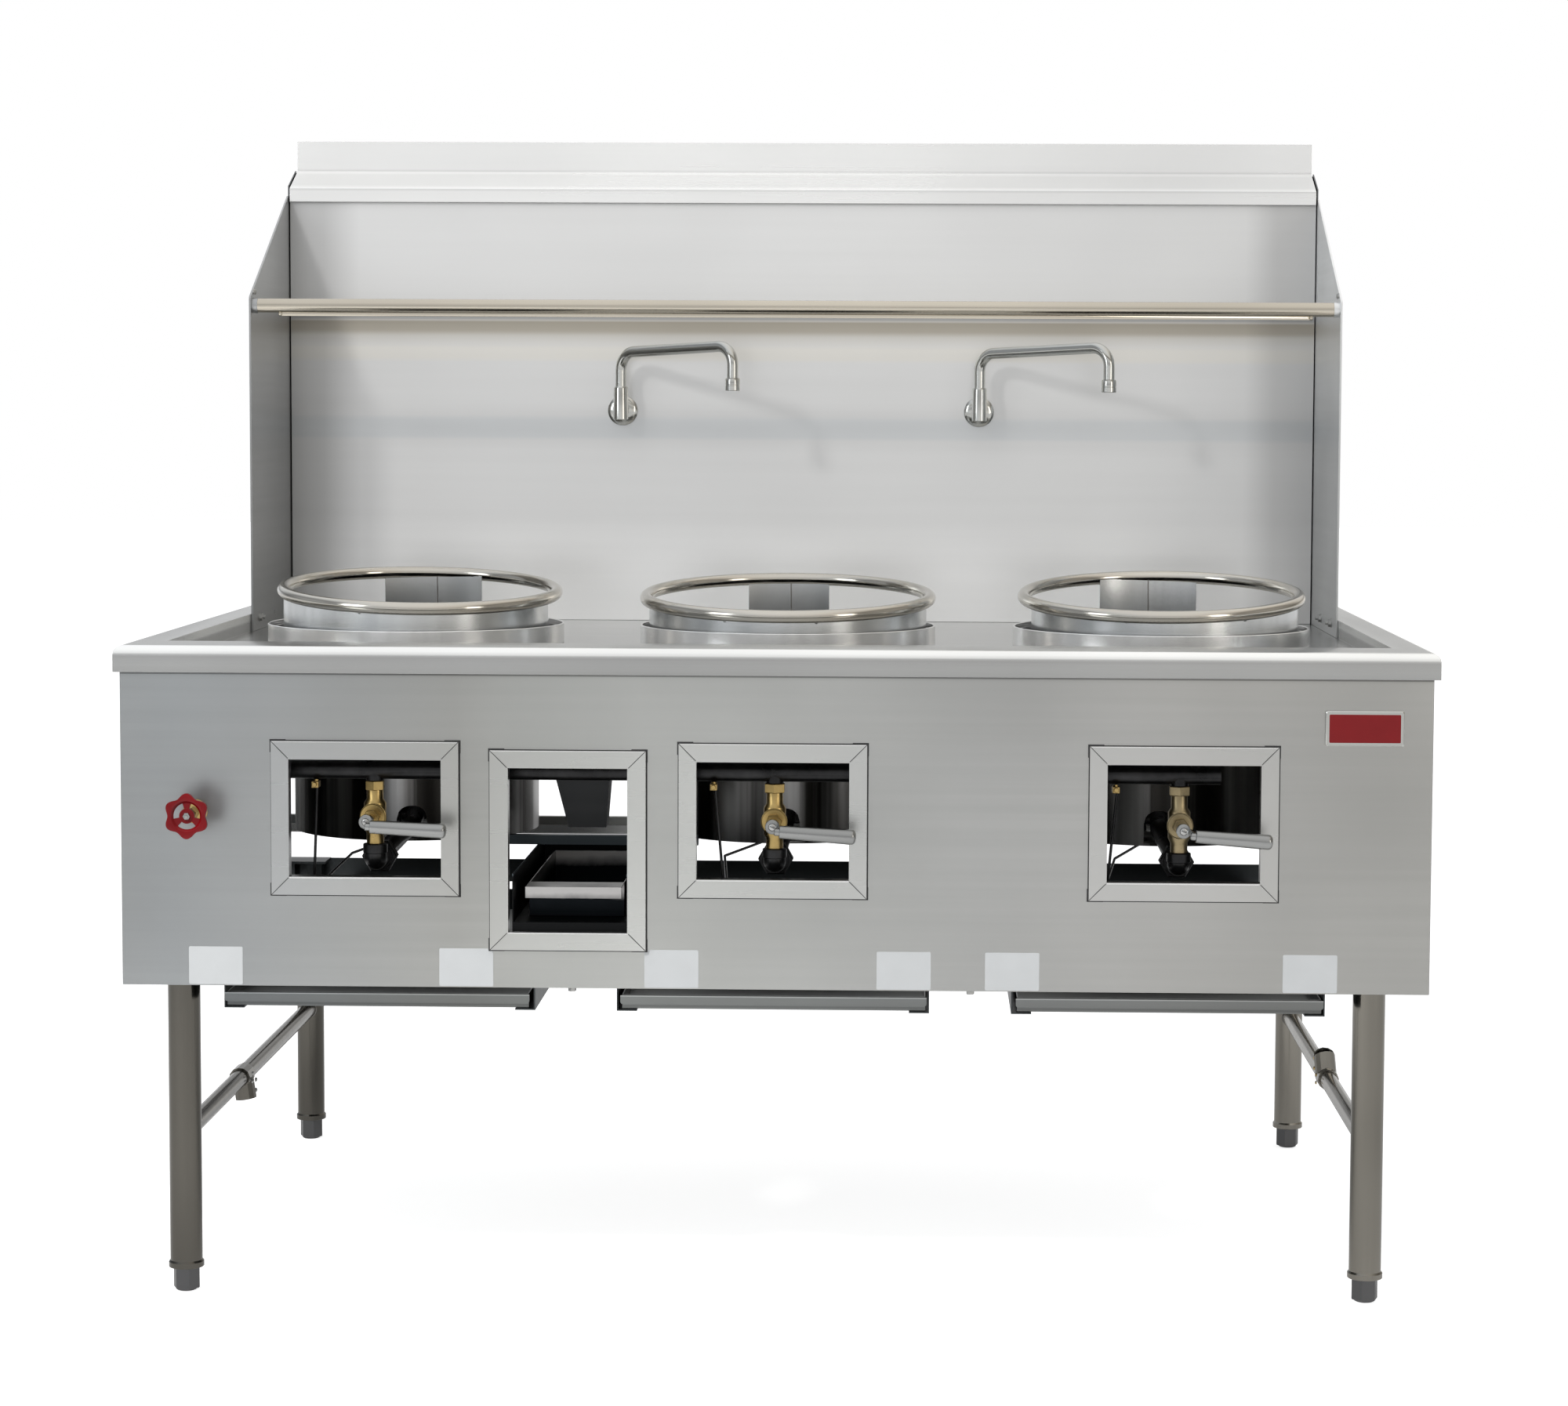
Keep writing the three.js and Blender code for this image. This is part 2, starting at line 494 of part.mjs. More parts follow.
// ---------------------------------------------------------------- chambers, collars, wok rings
for (const [i, ring] of RINGS.entries()) {
  const bx = (i - 1) * BURNER_PITCH;
  const top = UNDER_DECK - GAP;
  const ro = CHAMBER_OD / 2;
  let c = turned([[ro, CHAMBER_BOT], [ro, top], [ro - SHEET, top],
    [ro - SHEET, CHAMBER_FLOOR + SHEET], [46, CHAMBER_FLOOR + SHEET], [46, CHAMBER_FLOOR],
      [ro - SHEET, CHAMBER_FLOOR], [ro - SHEET, CHAMBER_BOT]], 20)
    .translate([bx, BURNER_Y, 0]);
  const ax = bx + ARCH_X[i];
  c = c.subtract(alongY([[ax - ARCH_W / 2, CHAMBER_FLOOR + SHEET],
    [ax + ARCH_W / 2, CHAMBER_FLOOR + SHEET], [ax + ARCH_W / 2, ARCH_TOP, 20],
    [ax - ARCH_W / 2, ARCH_TOP, 20]],
    BURNER_Y - ro - 5, BURNER_Y - ro + 30));
  put(`chamber_${ring.tag}`, c, 'iron');

  const rc = COLLAR_OD / 2;
  put(`collar_${ring.tag}`, turned([[LINER_R - 2.5, ON_DECK], [rc, ON_DECK], [rc, ON_DECK + COLLAR_H],
    [rc - 3, ON_DECK + COLLAR_H],
    [rc - 3, ON_DECK + 2.5], [LINER_R, ON_DECK + 2.5], [LINER_R, ON_DECK + COLLAR_H - 6],
      [LINER_R - 2.5, ON_DECK + COLLAR_H - 6]], 24)
    .translate([bx, BURNER_Y, 0]));

  // tilted ring on a straight skirt, cut down behind except for one tab
  const rr = RING_ROD / 2;
  const R = ring.od / 2 - rr;
  const loop = [];
  for (let k = 0; k < 8; k++) loop.push([R + rr * Math.cos((k * 45 + 22.5) * RAD),
    rr * Math.sin((k * 45 + 22.5) * RAD)]);
  const hoop = turned(loop, 24).rotate([ring.tilt, ring.roll, 0]).translate([ring.hoop, 0, ring.z]);
  const so = ring.skirt / 2;
  const z0 = ON_DECK;
  let skirt = tube(so, so - 2, z0, ring.z + 60, 24);
  skirt = skirt.subtract(alongZ(rect(-so - 60, -so - 60, so + 60, so + 60), 0,
    120).rotate([ring.tilt, ring.roll, 0]).translate([ring.hoop, 0, ring.z - 1]));
  skirt = skirt.subtract(box(-so - 5, ring.tab[0], 0, so + 5, SKIRT_CUT_Z,
    ring.z + 80)).subtract(box(ring.tab[1], so + 5, 0, so + 5, SKIRT_CUT_Z, ring.z + 80));
  put(`wok_ring_${ring.tag}`, hoop.add(skirt).translate([bx + ring.dx, BURNER_Y, 0]), 'polished');
}

// ---------------------------------------------------------------- riser, backsplash, wings, rail
const capFront = WALL_Y - CAP_OUT;
const capTop = CAP_LIP_Z + CAP_LIP_H;
const capBackY = RANGE_D - SHEET;
const capRun = new THREE.Vector2(capBackY - capFront, CAP_BACK_Z - capTop);
// underside of the sloping sheet at a depth y
const capUnder = (y) => {
  const u = capRun.clone().normalize();
  const px = capFront + u.y * SHEET;
  const pz = capTop - u.x * SHEET;
  return pz + ((y - px) * u.y) / u.x;
};
put('riser_cap', alongX([[capFront, CAP_LIP_Z], [capFront + SHEET, CAP_LIP_Z],
  [capFront + SHEET, capUnder(capFront + SHEET)], [RANGE_D, capUnder(RANGE_D)],
  [RANGE_D, CAP_BACK_Z + CAP_UP], [capBackY, CAP_BACK_Z + CAP_UP], [capBackY, CAP_BACK_Z],
    [capFront, capTop]], -WING_IN + 2.4, WING_IN - 2.4));
{
  let w = box(-WING_IN + 1.6, WING_IN - 1.6, WALL_Y, WALL_Y + SHEET, ON_DECK, capUnder(WALL_Y) - 1);
  for (const s of [-1, 1]) w = w.subtract(rod(12 + GAP, WALL_Y - 2, WALL_Y + 5, 16,
    'y').translate([s * FAUCET_X, 0, FAUCET_Z]));
  put('backsplash', w);
}
{
  const y0 = WALL_Y + SHEET + GAP;
  const end = (x0) => alongX([[y0, ON_DECK], [RANGE_D, ON_DECK], [RANGE_D, capUnder(RANGE_D) + 1.5],
    [y0, capUnder(y0) + 1.5]], x0, x0 + SHEET);
  put('riser_box', join(end(WING_IN), end(-WING_IN - SHEET),
    box(-WING_IN - 1, WING_IN + 1, RANGE_D - SHEET, RANGE_D, ON_DECK, capUnder(RANGE_D - SHEET) - GAP - 1),
    box(-WING_IN - 1, WING_IN + 1, WALL_Y + 25, RANGE_D - 1, ON_DECK, ON_DECK + SHEET)), 'dark_steel');
}
function wing(s, holes) {
  const yb = WALL_Y + SHEET;
  const prof = [[WING_Y, ON_DECK], [yb, ON_DECK], [yb, WING_TIP], [yb - 6, WING_TIP], [WING_Y, WING_TOP, 6]];
  let w = alongX(prof, WING_IN, WING_IN + 1.5);
  // folded hem along the front and the slope
  const H = 12;
  w = w.add(alongX([[WING_Y, ON_DECK], [WING_Y + H, ON_DECK], [WING_Y + H, WING_TOP - H * 0.35],
    [yb - 6, WING_TIP - H * 1.2], [yb - 6, WING_TIP], [WING_Y, WING_TOP, 6]], WING_IN, WING_OUT));
  // cup for the rail tube
  const cup = tube(12, RAIL_OD / 2 + GAP, WING_IN - CUP_L, WING_IN + 1, 14,
    'x').add(rod(12, WING_IN - 2, WING_IN + 1, 14, 'x'));
  w = w.add(cup.translate([0, RAIL_Y, RAIL_Z]));
  for (const [y, z] of holes) w = w.subtract(rod(3.2, WING_IN - 2, WING_OUT + 2, 8,
    'x').translate([0, y, z]));
  return s > 0 ? w : mirrorX(w);
}
put('wing_left', wing(-1, [[899, 907]]));
put('wing_right', wing(1, []));
{
  const e = WING_IN - CUP_L + 5;
  const r = RAIL_OD / 2;
  const strip = WING_IN - CUP_L - 35;
  let t = tube(r, r - 1.5, -e, e, 14, 'x').translate([0, RAIL_Y, RAIL_Z]);
  t = t.add(box(-strip, strip, RAIL_Y - 1, RAIL_Y + 1, RAIL_Z - r - 5, RAIL_Z - r + 0.8));
  for (const s of [-1, 1]) t = t.add(rod(4, -2.5, 2.5, 6,
    'x').translate([s * strip, RAIL_Y, RAIL_Z - r - 1.5]));
  put('rail_tube', t, 'polished');
}

// ---------------------------------------------------------------- faucets
const faucetY = WALL_Y - FAUCET_OUT;
for (const f of SPOUTS) {
  const x = f.side * FAUCET_X;
  const plate = turned([[0, WALL_Y - 6], [14, WALL_Y - 6], [25, WALL_Y - 2], [25, WALL_Y - GAP],
    [12, WALL_Y - GAP], [12, WALL_Y + 22], [0, WALL_Y + 22]], 12, 'y').translate([0, 0, FAUCET_Z]);
  const arm = rod(11, faucetY, WALL_Y - 3, 8, 'y').translate([0, 0, FAUCET_Z]);
  const low = FAUCET_Z - 15;
  const body = turned([[0, low], [12.3, low], [12.3, low + 1], [11.8, low + 53], [11, low + 55],
    [0, low + 55]], 12).translate([0, faucetY, 0]);
  const bore = rod(SPOUT_OD / 2 + 0.7, low + 40, low + 60, 12).translate([0, faucetY, 0]);
  put(`faucet_base_${f.tag}`, join(plate, arm, body).subtract(bore).translate([x, 0, 0]), 'polished');

  const dir = V(Math.sin(f.swing * RAD), -Math.cos(f.swing * RAD), 0);
  const o = V(x, faucetY, 0);
  const at = (d, z) => o.clone().addScaledVector(dir, d).setZ(z);
  const path = route([at(0, low + 40 + GAP), at(0, SPOUT_Z), at(f.reach, SPOUT_Z + f.rise),
    at(f.reach, FAUCET_Z + 33)], 30, 3);
  const tip = at(f.reach, 0);
  put(`spout_${f.tag}`, join(sweep(path, SPOUT_OD / 2, 10),
    rod(12, FAUCET_Z + 33, FAUCET_Z + 54, 12).translate([tip.x, tip.y, 0]))
    .subtract(rod(8.5, FAUCET_Z + 30, FAUCET_Z + 40, 10).translate([tip.x, tip.y, 0])), 'polished');
}

// ---------------------------------------------------------------- gas side
const TOP_PORT = MANIFOLD_Z - MANIFOLD_OD / 2 - 2;
{
  const r = MANIFOLD_OD / 2;
  const turn = WHEEL.x + 12;
  const run = route([
    V(WINDOWS[2].valve + 57, GAS_Y, MANIFOLD_Z),
    V(turn, GAS_Y, MANIFOLD_Z),
    V(turn, RANGE_D - 10, MANIFOLD_Z),
  ], 34, 3);
  let m = sweep(run, r, 12);
  for (const w of WINDOWS) {
    m = m.add(rod(12.5, TOP_PORT, MANIFOLD_Z - 4, 8).translate([w.valve, GAS_Y, 0]));
    m = m.subtract(rod(8 + GAP * 3, TOP_PORT - 1, TOP_PORT + 9, 8).translate([w.valve, GAS_Y, 0]));
  }
  put('manifold', m, 'iron');
}
for (const [i, w] of WINDOWS.entries()) {
  const x = w.valve;
  const z = w.vz;
  const bx = (i - 1) * BURNER_PITCH;
  // brass lever valve
  const top = TOP_PORT - GAP;
  const vert = turned([[0, z - 50], [8, z - 50], [8, z - 40], [12, z - 40], [12, z - 25], [15.5, z - 19],
    [15.5, z + 17], [11.5, z + 23], [11.5, top - 6], [8, top - 6], [8, top + 8], [0, top + 8]], 10);
  const cap = hex(i === 0 ? 24 : 27, top - 13, top, 'z', 30);
  const bonnet = turned([[0, GAS_Y - 4], [13, GAS_Y - 4], [17.5, GAS_Y - 13], [17.5, GAS_Y - 24],
    [8, GAS_Y - 24], [8, GAS_Y - 39], [5, GAS_Y - 39], [5, STEM_Y + 2.5], [0, STEM_Y + 2.5]], 12,
    'y').translate([0, 0, z]);
  const gland = hex(20, GAS_Y - 36, GAS_Y - 23, 'y', 10).translate([0, 0, z]);
  put(`valve_${w.tag}`, join(vert.translate([0, GAS_Y, 0]), cap.translate([0, GAS_Y, 0]), bonnet,
    gland).translate([x, 0, 0]), 'brass');

  // lever: eye on the stem, cranked arm, round handle
  const droop = LEVERS[i] * RAD;
  const hd = V(Math.cos(droop), 0, -Math.sin(droop));
  const hs = V(11 + w.hx, LEVER_Y, -2.5);
  const eye = rod(10, STEM_Y, STEM_Y + 12, 12, 'y');
  const arm = sweep(route([V(3, STEM_Y + 5, -0.5), V(10.5, STEM_Y + 1, -1.5), hs.clone().add(V(1, 8, 0)),
    hs.clone().addScaledVector(hd, 12)], 10, 2), 4.5, 6);
  const L = LEVER_L;
  const grip = turned([[0, 0], [9, 0], [10.5, L - 7], [8.8, L - 2.5], [4.5, L - 0.4], [0, L]], 12, 'x')
    .rotate([0, LEVERS[i], 0]).translate([hs.x, hs.y, hs.z]);
  const seat = rod(5 + GAP, STEM_Y + 2.2, STEM_Y + 20, 12, 'y');
  put(`lever_${w.tag}`, join(eye, arm, grip).subtract(seat).translate([x, 0, z]), 'alloy');

  // street elbow, union, pipe and jet head
  const eTop = z - 40 - GAP;
  const ax = bx + ARCH_X[i];
  const wall = BURNER_Y - CHAMBER_OD / 2;
  const line0 = route([V(x, GAS_Y, eTop - 6), V(x, GAS_Y, PIPE_Z), V(x, GAS_Y + 62, PIPE_Z),
    V(ax, wall - 6, CHAMBER_FLOOR + 24), V(bx, BURNER_Y, CHAMBER_FLOOR + 24),
    V(bx, BURNER_Y, CHAMBER_FLOOR + 60)], 22, 2);
  const radii = line0.map((q) => (q.y < GAS_Y + 46 ? 15.5 : PIPE_OD / 2));
  let b = join(sweep(line0, radii, 10), rod(17, eTop - 13, eTop, 12).translate([x, GAS_Y, 0]),
    hex(43, GAS_Y + 34, GAS_Y + 56, 'y', 0).translate([x, 0, PIPE_Z]),
    // the head stands on the chamber floor on three feet
    turned([[0, CHAMBER_FLOOR + 52], [34, CHAMBER_FLOOR + 52], [34, CHAMBER_FLOOR + 86],
      [10, CHAMBER_FLOOR + 90], [0, CHAMBER_FLOOR + 82]], 12).translate([bx, BURNER_Y, 0]));
  for (let k = 0; k < 3; k++) {
    b = b.add(box(28, 62, -5, 5, CHAMBER_FLOOR + 52,
      CHAMBER_FLOOR + 57).add(box(57, 62, -5, 5, CHAMBER_FLOOR + SHEET + GAP,
      CHAMBER_FLOOR + 57)).rotate([0, 0, 30 + 120 * k]).translate([bx, BURNER_Y, 0]));
  }
  b = b.subtract(rod(8 + 2 * GAP, eTop - 12, eTop + 1, 10).translate([x, GAS_Y, 0]));
  put(`burner_${w.tag}`, b, 'iron');

  // pilot: nipple, cube, needle screw and thin tube
  const px = bx - [77, 86, 92][i];
  const pz = MANIFOLD_Z - 20;
  const under = MANIFOLD_Z - MANIFOLD_OD / 2 - GAP;
  const foot = [-3, 14, -11][i];
  const back = [-67, -84, -78][i];
  const line = route([V(px + 2, GAS_Y - 7, pz), V(px + foot, GAS_Y - 7, 579), V(px + foot + 1, 118, 571),
    V(bx + back, 300, 588), V(bx - 22, BURNER_Y - 30, 592),
    V(bx - 22, BURNER_Y - 30, CHAMBER_FLOOR + 74)], 12, 2);
  put(`pilot_${w.tag}`, join(
    rod(4, pz, under - 0.2, 6).translate([px, GAS_Y - 3, 0]),
    box(px - 5, px + 5, GAS_Y - 16, GAS_Y + 3, pz - 5, pz + 4),
    rod(3.4, GAS_Y - 22, GAS_Y - 10, 6, 'y').translate([px, 0, pz]),
    sweep(line, 2, 5)), 'brass');
}

// ---------------------------------------------------------------- water valve and handwheel
{
  const { x, z, y } = WHEEL;
  const f = FACE_IN;
  const v = join(
    turned([[0, y + 4.3], [3.5, y + 4.3], [3.5, y + 26], [8, y + 28], [8, f - 14], [12, f - 12],
      [12, f - 4], [17, f - 3], [17, f - GAP], [11, f - GAP], [11, f + 22], [18, f + 30], [15, f + 46],
      [0, f + 48]], 10, 'y').translate([x, 0, z]),
    hex(17, y + 24, y + 38, 'y', 15).translate([x, 0, z]),
    hex(30, f + SHEET + GAP, f + SHEET + 8, 'y', 15).translate([x, 0, z]),
    rod(10.5, z - 36, z + 36, 10).translate([x, f + 34, 0]));
  put('water_valve', v, 'brass');

  const star = [];
  for (let k = 0; k < 30; k++) {
    const wave = Math.cos(6 * (k * 12 - 30) * RAD);
    star.push(onCircle((WHEEL.tip + WHEEL.waist) / 2 + ((WHEEL.tip - WHEEL.waist) / 2) * wave, k * 12));
  }
  let h = alongY(star, y, y + 9);
  // dished face
  h = h.subtract(turned([[0, y - 1], [21, y - 1], [19, y + 2.5], [0, y + 3.5]], 12, 'y'));
  // three openings between the spokes
  for (const mid of [30, 150, 270]) {
    const k = [];
    for (let j = 0; j <= 3; j++) k.push(onCircle(18, mid - 44 + 29.3 * j));
    for (let j = 2; j >= 0; j--) k.push(onCircle(10.5, mid - 40 + 40 * j));
    h = h.subtract(alongY(k, y - 1, y + 12));
  }
  h = join(h, rod(9, y + 3, y + 13, 12, 'y'), hex(9, y - 1, y + 6, 'y'));
  h = h.subtract(rod(3.5 + GAP, y + 4, y + 14, 12, 'y'));
  put('handwheel', h.translate([x, 0, z]), 'red');
}

// ---------------------------------------------------------------- chute, pan rack, catch pan
{
  const c = CHUTE;
  const t = 1.5;
  const top = UNDER_DECK - GAP;
  const R = (k) => [c.x - c.w / 2 + k, c.x + c.w / 2 - k, c.y - c.d / 2 + k, c.y + c.d / 2 - k];
  const B = (k) => [c.xBot - c.wBot / 2 + k, c.xBot + c.wBot / 2 - k, c.y - c.dBot / 2 + k,
    c.y + c.dBot / 2 - k];
  const out = join(box(...R(0), c.zTop - 0.01, top), hopper(B(0), c.zBot, R(0), c.zTop),
    box(...R(-12), top - SHEET, top));
  const hole = join(box(...R(t), c.zTop - 0.01, top + 1), hopper(B(t), c.zBot, R(t), c.zTop),
    box(...B(t), c.zBot - 1, c.zBot + 0.01));
  put('chute', out.subtract(hole), 'dark_steel');
}
{
  const p = PAN;
  const xl = RACK.x - RACK.w / 2;
  const xr = RACK.x + RACK.w / 2;
  const zb = p.rim - p.h - 3;
  const sill = PAN_WIN.z - PAN_WIN.ih / 2 + GAP;
  const t = 1.5;
  const y0 = FACE_IN + 5;
  const y1 = y0 + RACK.depth;
  const side = (x0, s) => join(
    alongX([[y0, sill], [y0 + 8, sill], [y0 + 8, zb], [y1, zb], [y1, RACK.top], [y0, RACK.top]],
      Math.min(x0, x0 + s * t), Math.max(x0, x0 + s * t)));
  const hangY = y1 - 75;
  const top = UNDER_DECK - GAP;
  let r = join(side(xl, 1), side(xr, -1),
    box(RACK.x - RACK.out, RACK.x + RACK.out, hangY, hangY + 15, RACK.top - 2, RACK.top + 12),
    box(xl, xr, y0, y1, zb, zb + t),
    box(xl, xr, y0, y0 + t, sill, zb + t),
    box(xl, xr, y1 - t, y1, zb, zb + 40));
  for (const x of [RACK.x - RACK.out, RACK.x + RACK.out - 10]) {
    r = join(r,
      box(x, x + 10, hangY, hangY + 3, RACK.top + 1, top),
      box(x, x + 10, hangY - 10, hangY + 3, top - SHEET, top));
  }
  put('pan_rack', r, 'dark_steel');

  const w = p.w / 2;
  const lip = p.front + p.lip;
  const z0 = zb + t + GAP;
  let c = box(p.x - w, p.x + w, lip, p.back, z0, p.rim)
    .subtract(box(p.x - w + t, p.x + w - t, lip + t, p.back - t, z0 + t, p.rim + 1));
  c = join(c,
    box(p.x - w, p.x + w, p.front, lip + t, p.rim - t, p.rim),
    box(p.x - w, p.x + w, p.front, p.front + t, p.rim - 16, p.rim));
  put('catch_pan', c);
}

// ---------------------------------------------------------------- legs, feet, braces, clamps
const legTop = BODY_BOT + FRAME_H - SHEET - 1 - GAP;
const ends = [['front', LEG_Y1], ['rear', LEG_Y2]];
for (const [tag, y] of ends) for (const [sd, s] of [['left', -1], ['right', 1]]) {
  const r = LEG_OD / 2;
  const c = COLLAR_LEG_OD / 2;
  put(`leg_${tag}_${sd}`, turned([[STEM_D / 2 + GAP, FOOT_H], [c, FOOT_H], [c, FOOT_H + 8],
    [r, FOOT_H + 10], [r, legTop], [r - 1.5, legTop], [r - 1.5, FOOT_H + 24],
    [STEM_D / 2 + GAP, FOOT_H + 24]], LEG_SEG)
    .translate([s * LEG_X, y, 0]), 'polished');
  const top = 33 / Math.sqrt(3);
  const foot = turned([[0, 0], [top * 0.7, 0], [top * 0.86, 3], [top, FOOT_H - 6], [top, FOOT_H - GAP],
    [STEM_D / 2, FOOT_H - GAP], [STEM_D / 2, FOOT_H + 40], [0, FOOT_H + 40]], 6);
  put(`foot_${tag}_${sd}`, foot.rotate([0, 0, s > 0 ? 12 : -8]).translate([s * LEG_X, y, 0]), 'foot');
}
for (const [sd, s] of [['left', -1], ['right', 1]]) {
  const r = BRACE_OD / 2;
  let b = tube(r, r - 1.5, LEG_Y1, LEG_Y2, 12, 'y').translate([s * LEG_X, 0, BRACE_Z]);
  for (const y of [LEG_Y1, LEG_Y2]) b = b.subtract(rod(LEG_OD / 2 + GAP, BRACE_Z - 20, BRACE_Z + 20,
    LEG_SEG).translate([s * LEG_X, y, 0]));
  put(`brace_${sd}`, b, 'polished');
}
function clamp(len, up, mouth) {
  const r = BRACE_OD / 2 + 2 * GAP;
  const R = r + 2.6;
  let c = join(rod(R, -len / 2, len / 2, 12, 'y'), rod(R, 0, up, 12).translate([0, len / 2 - R, 0]));
  if (mouth) c = c.subtract(alongX([[len / 2 - R, up - 11], [len / 2 + 12, up + 6],
    [len / 2 - 2 * R - 12, up + 6]], -R - 2, R + 2));
  c = c.subtract(rod(r, -len, len, 12, 'y')).subtract(rod(r, R, up + 10, 12).translate([0, len / 2 - R, 0]));
  return c;
}
{
  const l = clamp(42, 36, false).rotate([0, 180, 0]).rotate([0, -8, 0]);
  put('tee_clamp_left', l.translate([-LEG_X, 455, BRACE_Z]), 'polished');
  const r = clamp(42, 44, true).rotate([0, -6, 0]);
  put('tee_clamp_right', r.translate([LEG_X, 516, BRACE_Z]), 'polished');
}

// ---------------------------------------------------------------- out
const front = LEVER_Y - 10.5;
const shift = -(front + RANGE_D) / 2;
let facets = 0;
for (const { name, s: raw, mat } of nodes) {
  // drop slivers left where faces meet, keep the one body
  const parts = raw.asOriginal().simplify(0.01).decompose().filter((q) => q.volume() > 0.5);
  if (parts.length !== 1) throw new Error(`${name}: ${parts.length} bodies`);
  const s = parts[0];
  const m = s.translate([0, shift, 0]).getMesh();
  const g = new THREE.BufferGeometry();
  g.setAttribute('position', new THREE.Float32BufferAttribute(m.vertProperties, 3));
  g.setIndex(Array.from(m.triVerts));
  g.computeVertexNormals();
  facets += m.triVerts.length / 3;
  const mesh = new THREE.Mesh(g, new THREE.MeshStandardMaterial({ color: MATS[mat], name: mat }));
  mesh.name = name;
  group.add(mesh);
}
group.userData.facets = facets;

export default group;
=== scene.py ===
"""Looks of a three-burner wok range: smooth round pieces, rounded sheet edges, fixings and finishes.

Shapes are written in millimetres: X to the right seen from the front, Y into the depth
from the front of the rim, Z up from the floor. place() turns them into metres.
"""
import json
from math import acos, atan2, cos, pi, radians, sin, sqrt, tan
from types import SimpleNamespace

import bmesh
import bpy
import numpy as np
from mathutils import Matrix, Vector


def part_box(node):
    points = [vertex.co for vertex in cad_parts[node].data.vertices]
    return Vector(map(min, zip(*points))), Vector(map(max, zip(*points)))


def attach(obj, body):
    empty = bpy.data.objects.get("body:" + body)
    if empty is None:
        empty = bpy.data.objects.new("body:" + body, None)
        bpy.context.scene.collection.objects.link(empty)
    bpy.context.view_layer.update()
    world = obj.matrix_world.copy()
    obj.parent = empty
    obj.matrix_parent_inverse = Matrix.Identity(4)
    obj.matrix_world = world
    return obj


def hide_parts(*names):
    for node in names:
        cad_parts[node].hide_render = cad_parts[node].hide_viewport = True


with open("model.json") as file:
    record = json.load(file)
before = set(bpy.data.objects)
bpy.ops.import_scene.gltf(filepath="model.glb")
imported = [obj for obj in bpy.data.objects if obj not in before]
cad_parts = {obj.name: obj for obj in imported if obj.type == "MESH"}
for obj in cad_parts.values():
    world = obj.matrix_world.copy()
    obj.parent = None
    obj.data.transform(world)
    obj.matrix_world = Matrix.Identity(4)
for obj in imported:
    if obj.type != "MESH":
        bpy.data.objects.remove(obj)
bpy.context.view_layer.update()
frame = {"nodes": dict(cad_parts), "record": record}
scene = bpy.context.scene
NODES = frame["nodes"]
RANGE = "range"
DEPTH_ORIGIN = -529.25  # Y of the rim's front in the part's frame


def place(x, y, z):
    """A place in millimetres, in metres in the part's frame."""
    return Vector((x / 1000, (y + DEPTH_ORIGIN) / 1000, z / 1000))


# -------- sizes, as in the solids
GAP = 0.3  # between pieces that meet
SHEET = 2.0
RIM_X = 915.0  # half the width over the rim
DECK_Z = 886.0
ON_DECK = DECK_Z + GAP
UNDER_DECK = DECK_Z - SHEET
BODY_X = RIM_X - 8.5
BODY_LOW = 440.5
WING_IN = RIM_X - 54.7 - GAP - 3.0
PANEL_Y = 4.0  # the front panel's face
FRAME_Y = PANEL_Y - 6.0  # the window frames' face
FRAME_W = 24.0
WALL_Y = 1056.0

# burners
PITCH = 566.0
BURNER_Y = 506.0
COLLAR_R = 224.0
COLLAR_H = 30.0
LINER_R = 214.5
CHAMBER_R = 185.0
CHAMBER_FLOOR = 606.0
ARCH_W = 45.0
ARCH_R = 20.0
ARCH_TOP = 656.0
RING_R = 9.5
SKIRT_CUT_Z = 922.0

# gas
MANIFOLD_Z = 738.0
MANIFOLD_R = 13.35
MANIFOLD_END = 1117.0
TOP_PORT = MANIFOLD_Z - MANIFOLD_R - 2
GAS_Y = 60.0
STEM_Y = -26.0
LEVER_Y = -58.0
LEVER_L = 105.0
PIPE_Z = 611.0
PIPE_R = 13.5
TUBE_R = 2.0

# water and rail
FAUCET_X = 298.0
FAUCET_Y = WALL_Y - 41.0
FAUCET_Z = 1238.0
SPOUT_Z = FAUCET_Z + 96.0
SPOUT_R = 9.0
SPOUTS = {"left": (-1, 254.0, 50.0), "right": (1, 260.0, 52.2)}  # side, reach, degrees swung
WHEEL = (-802.0, -58.0, 684.0)  # the middle of the handwheel's front
RAIL_Y = 732.0
RAIL_Z = 1402.0
RAIL_R = 11.25

# stand
LEG_X = 829.0
LEG_Y = {"front": 45.5, "rear": 1053.5}
LEG_R = 22.5
LEG_TOP = 473.2
TUBE_WALL = 1.5
FOOT_H = 33.5
BRACE_Z = 224.0
BRACE_R = 13.0

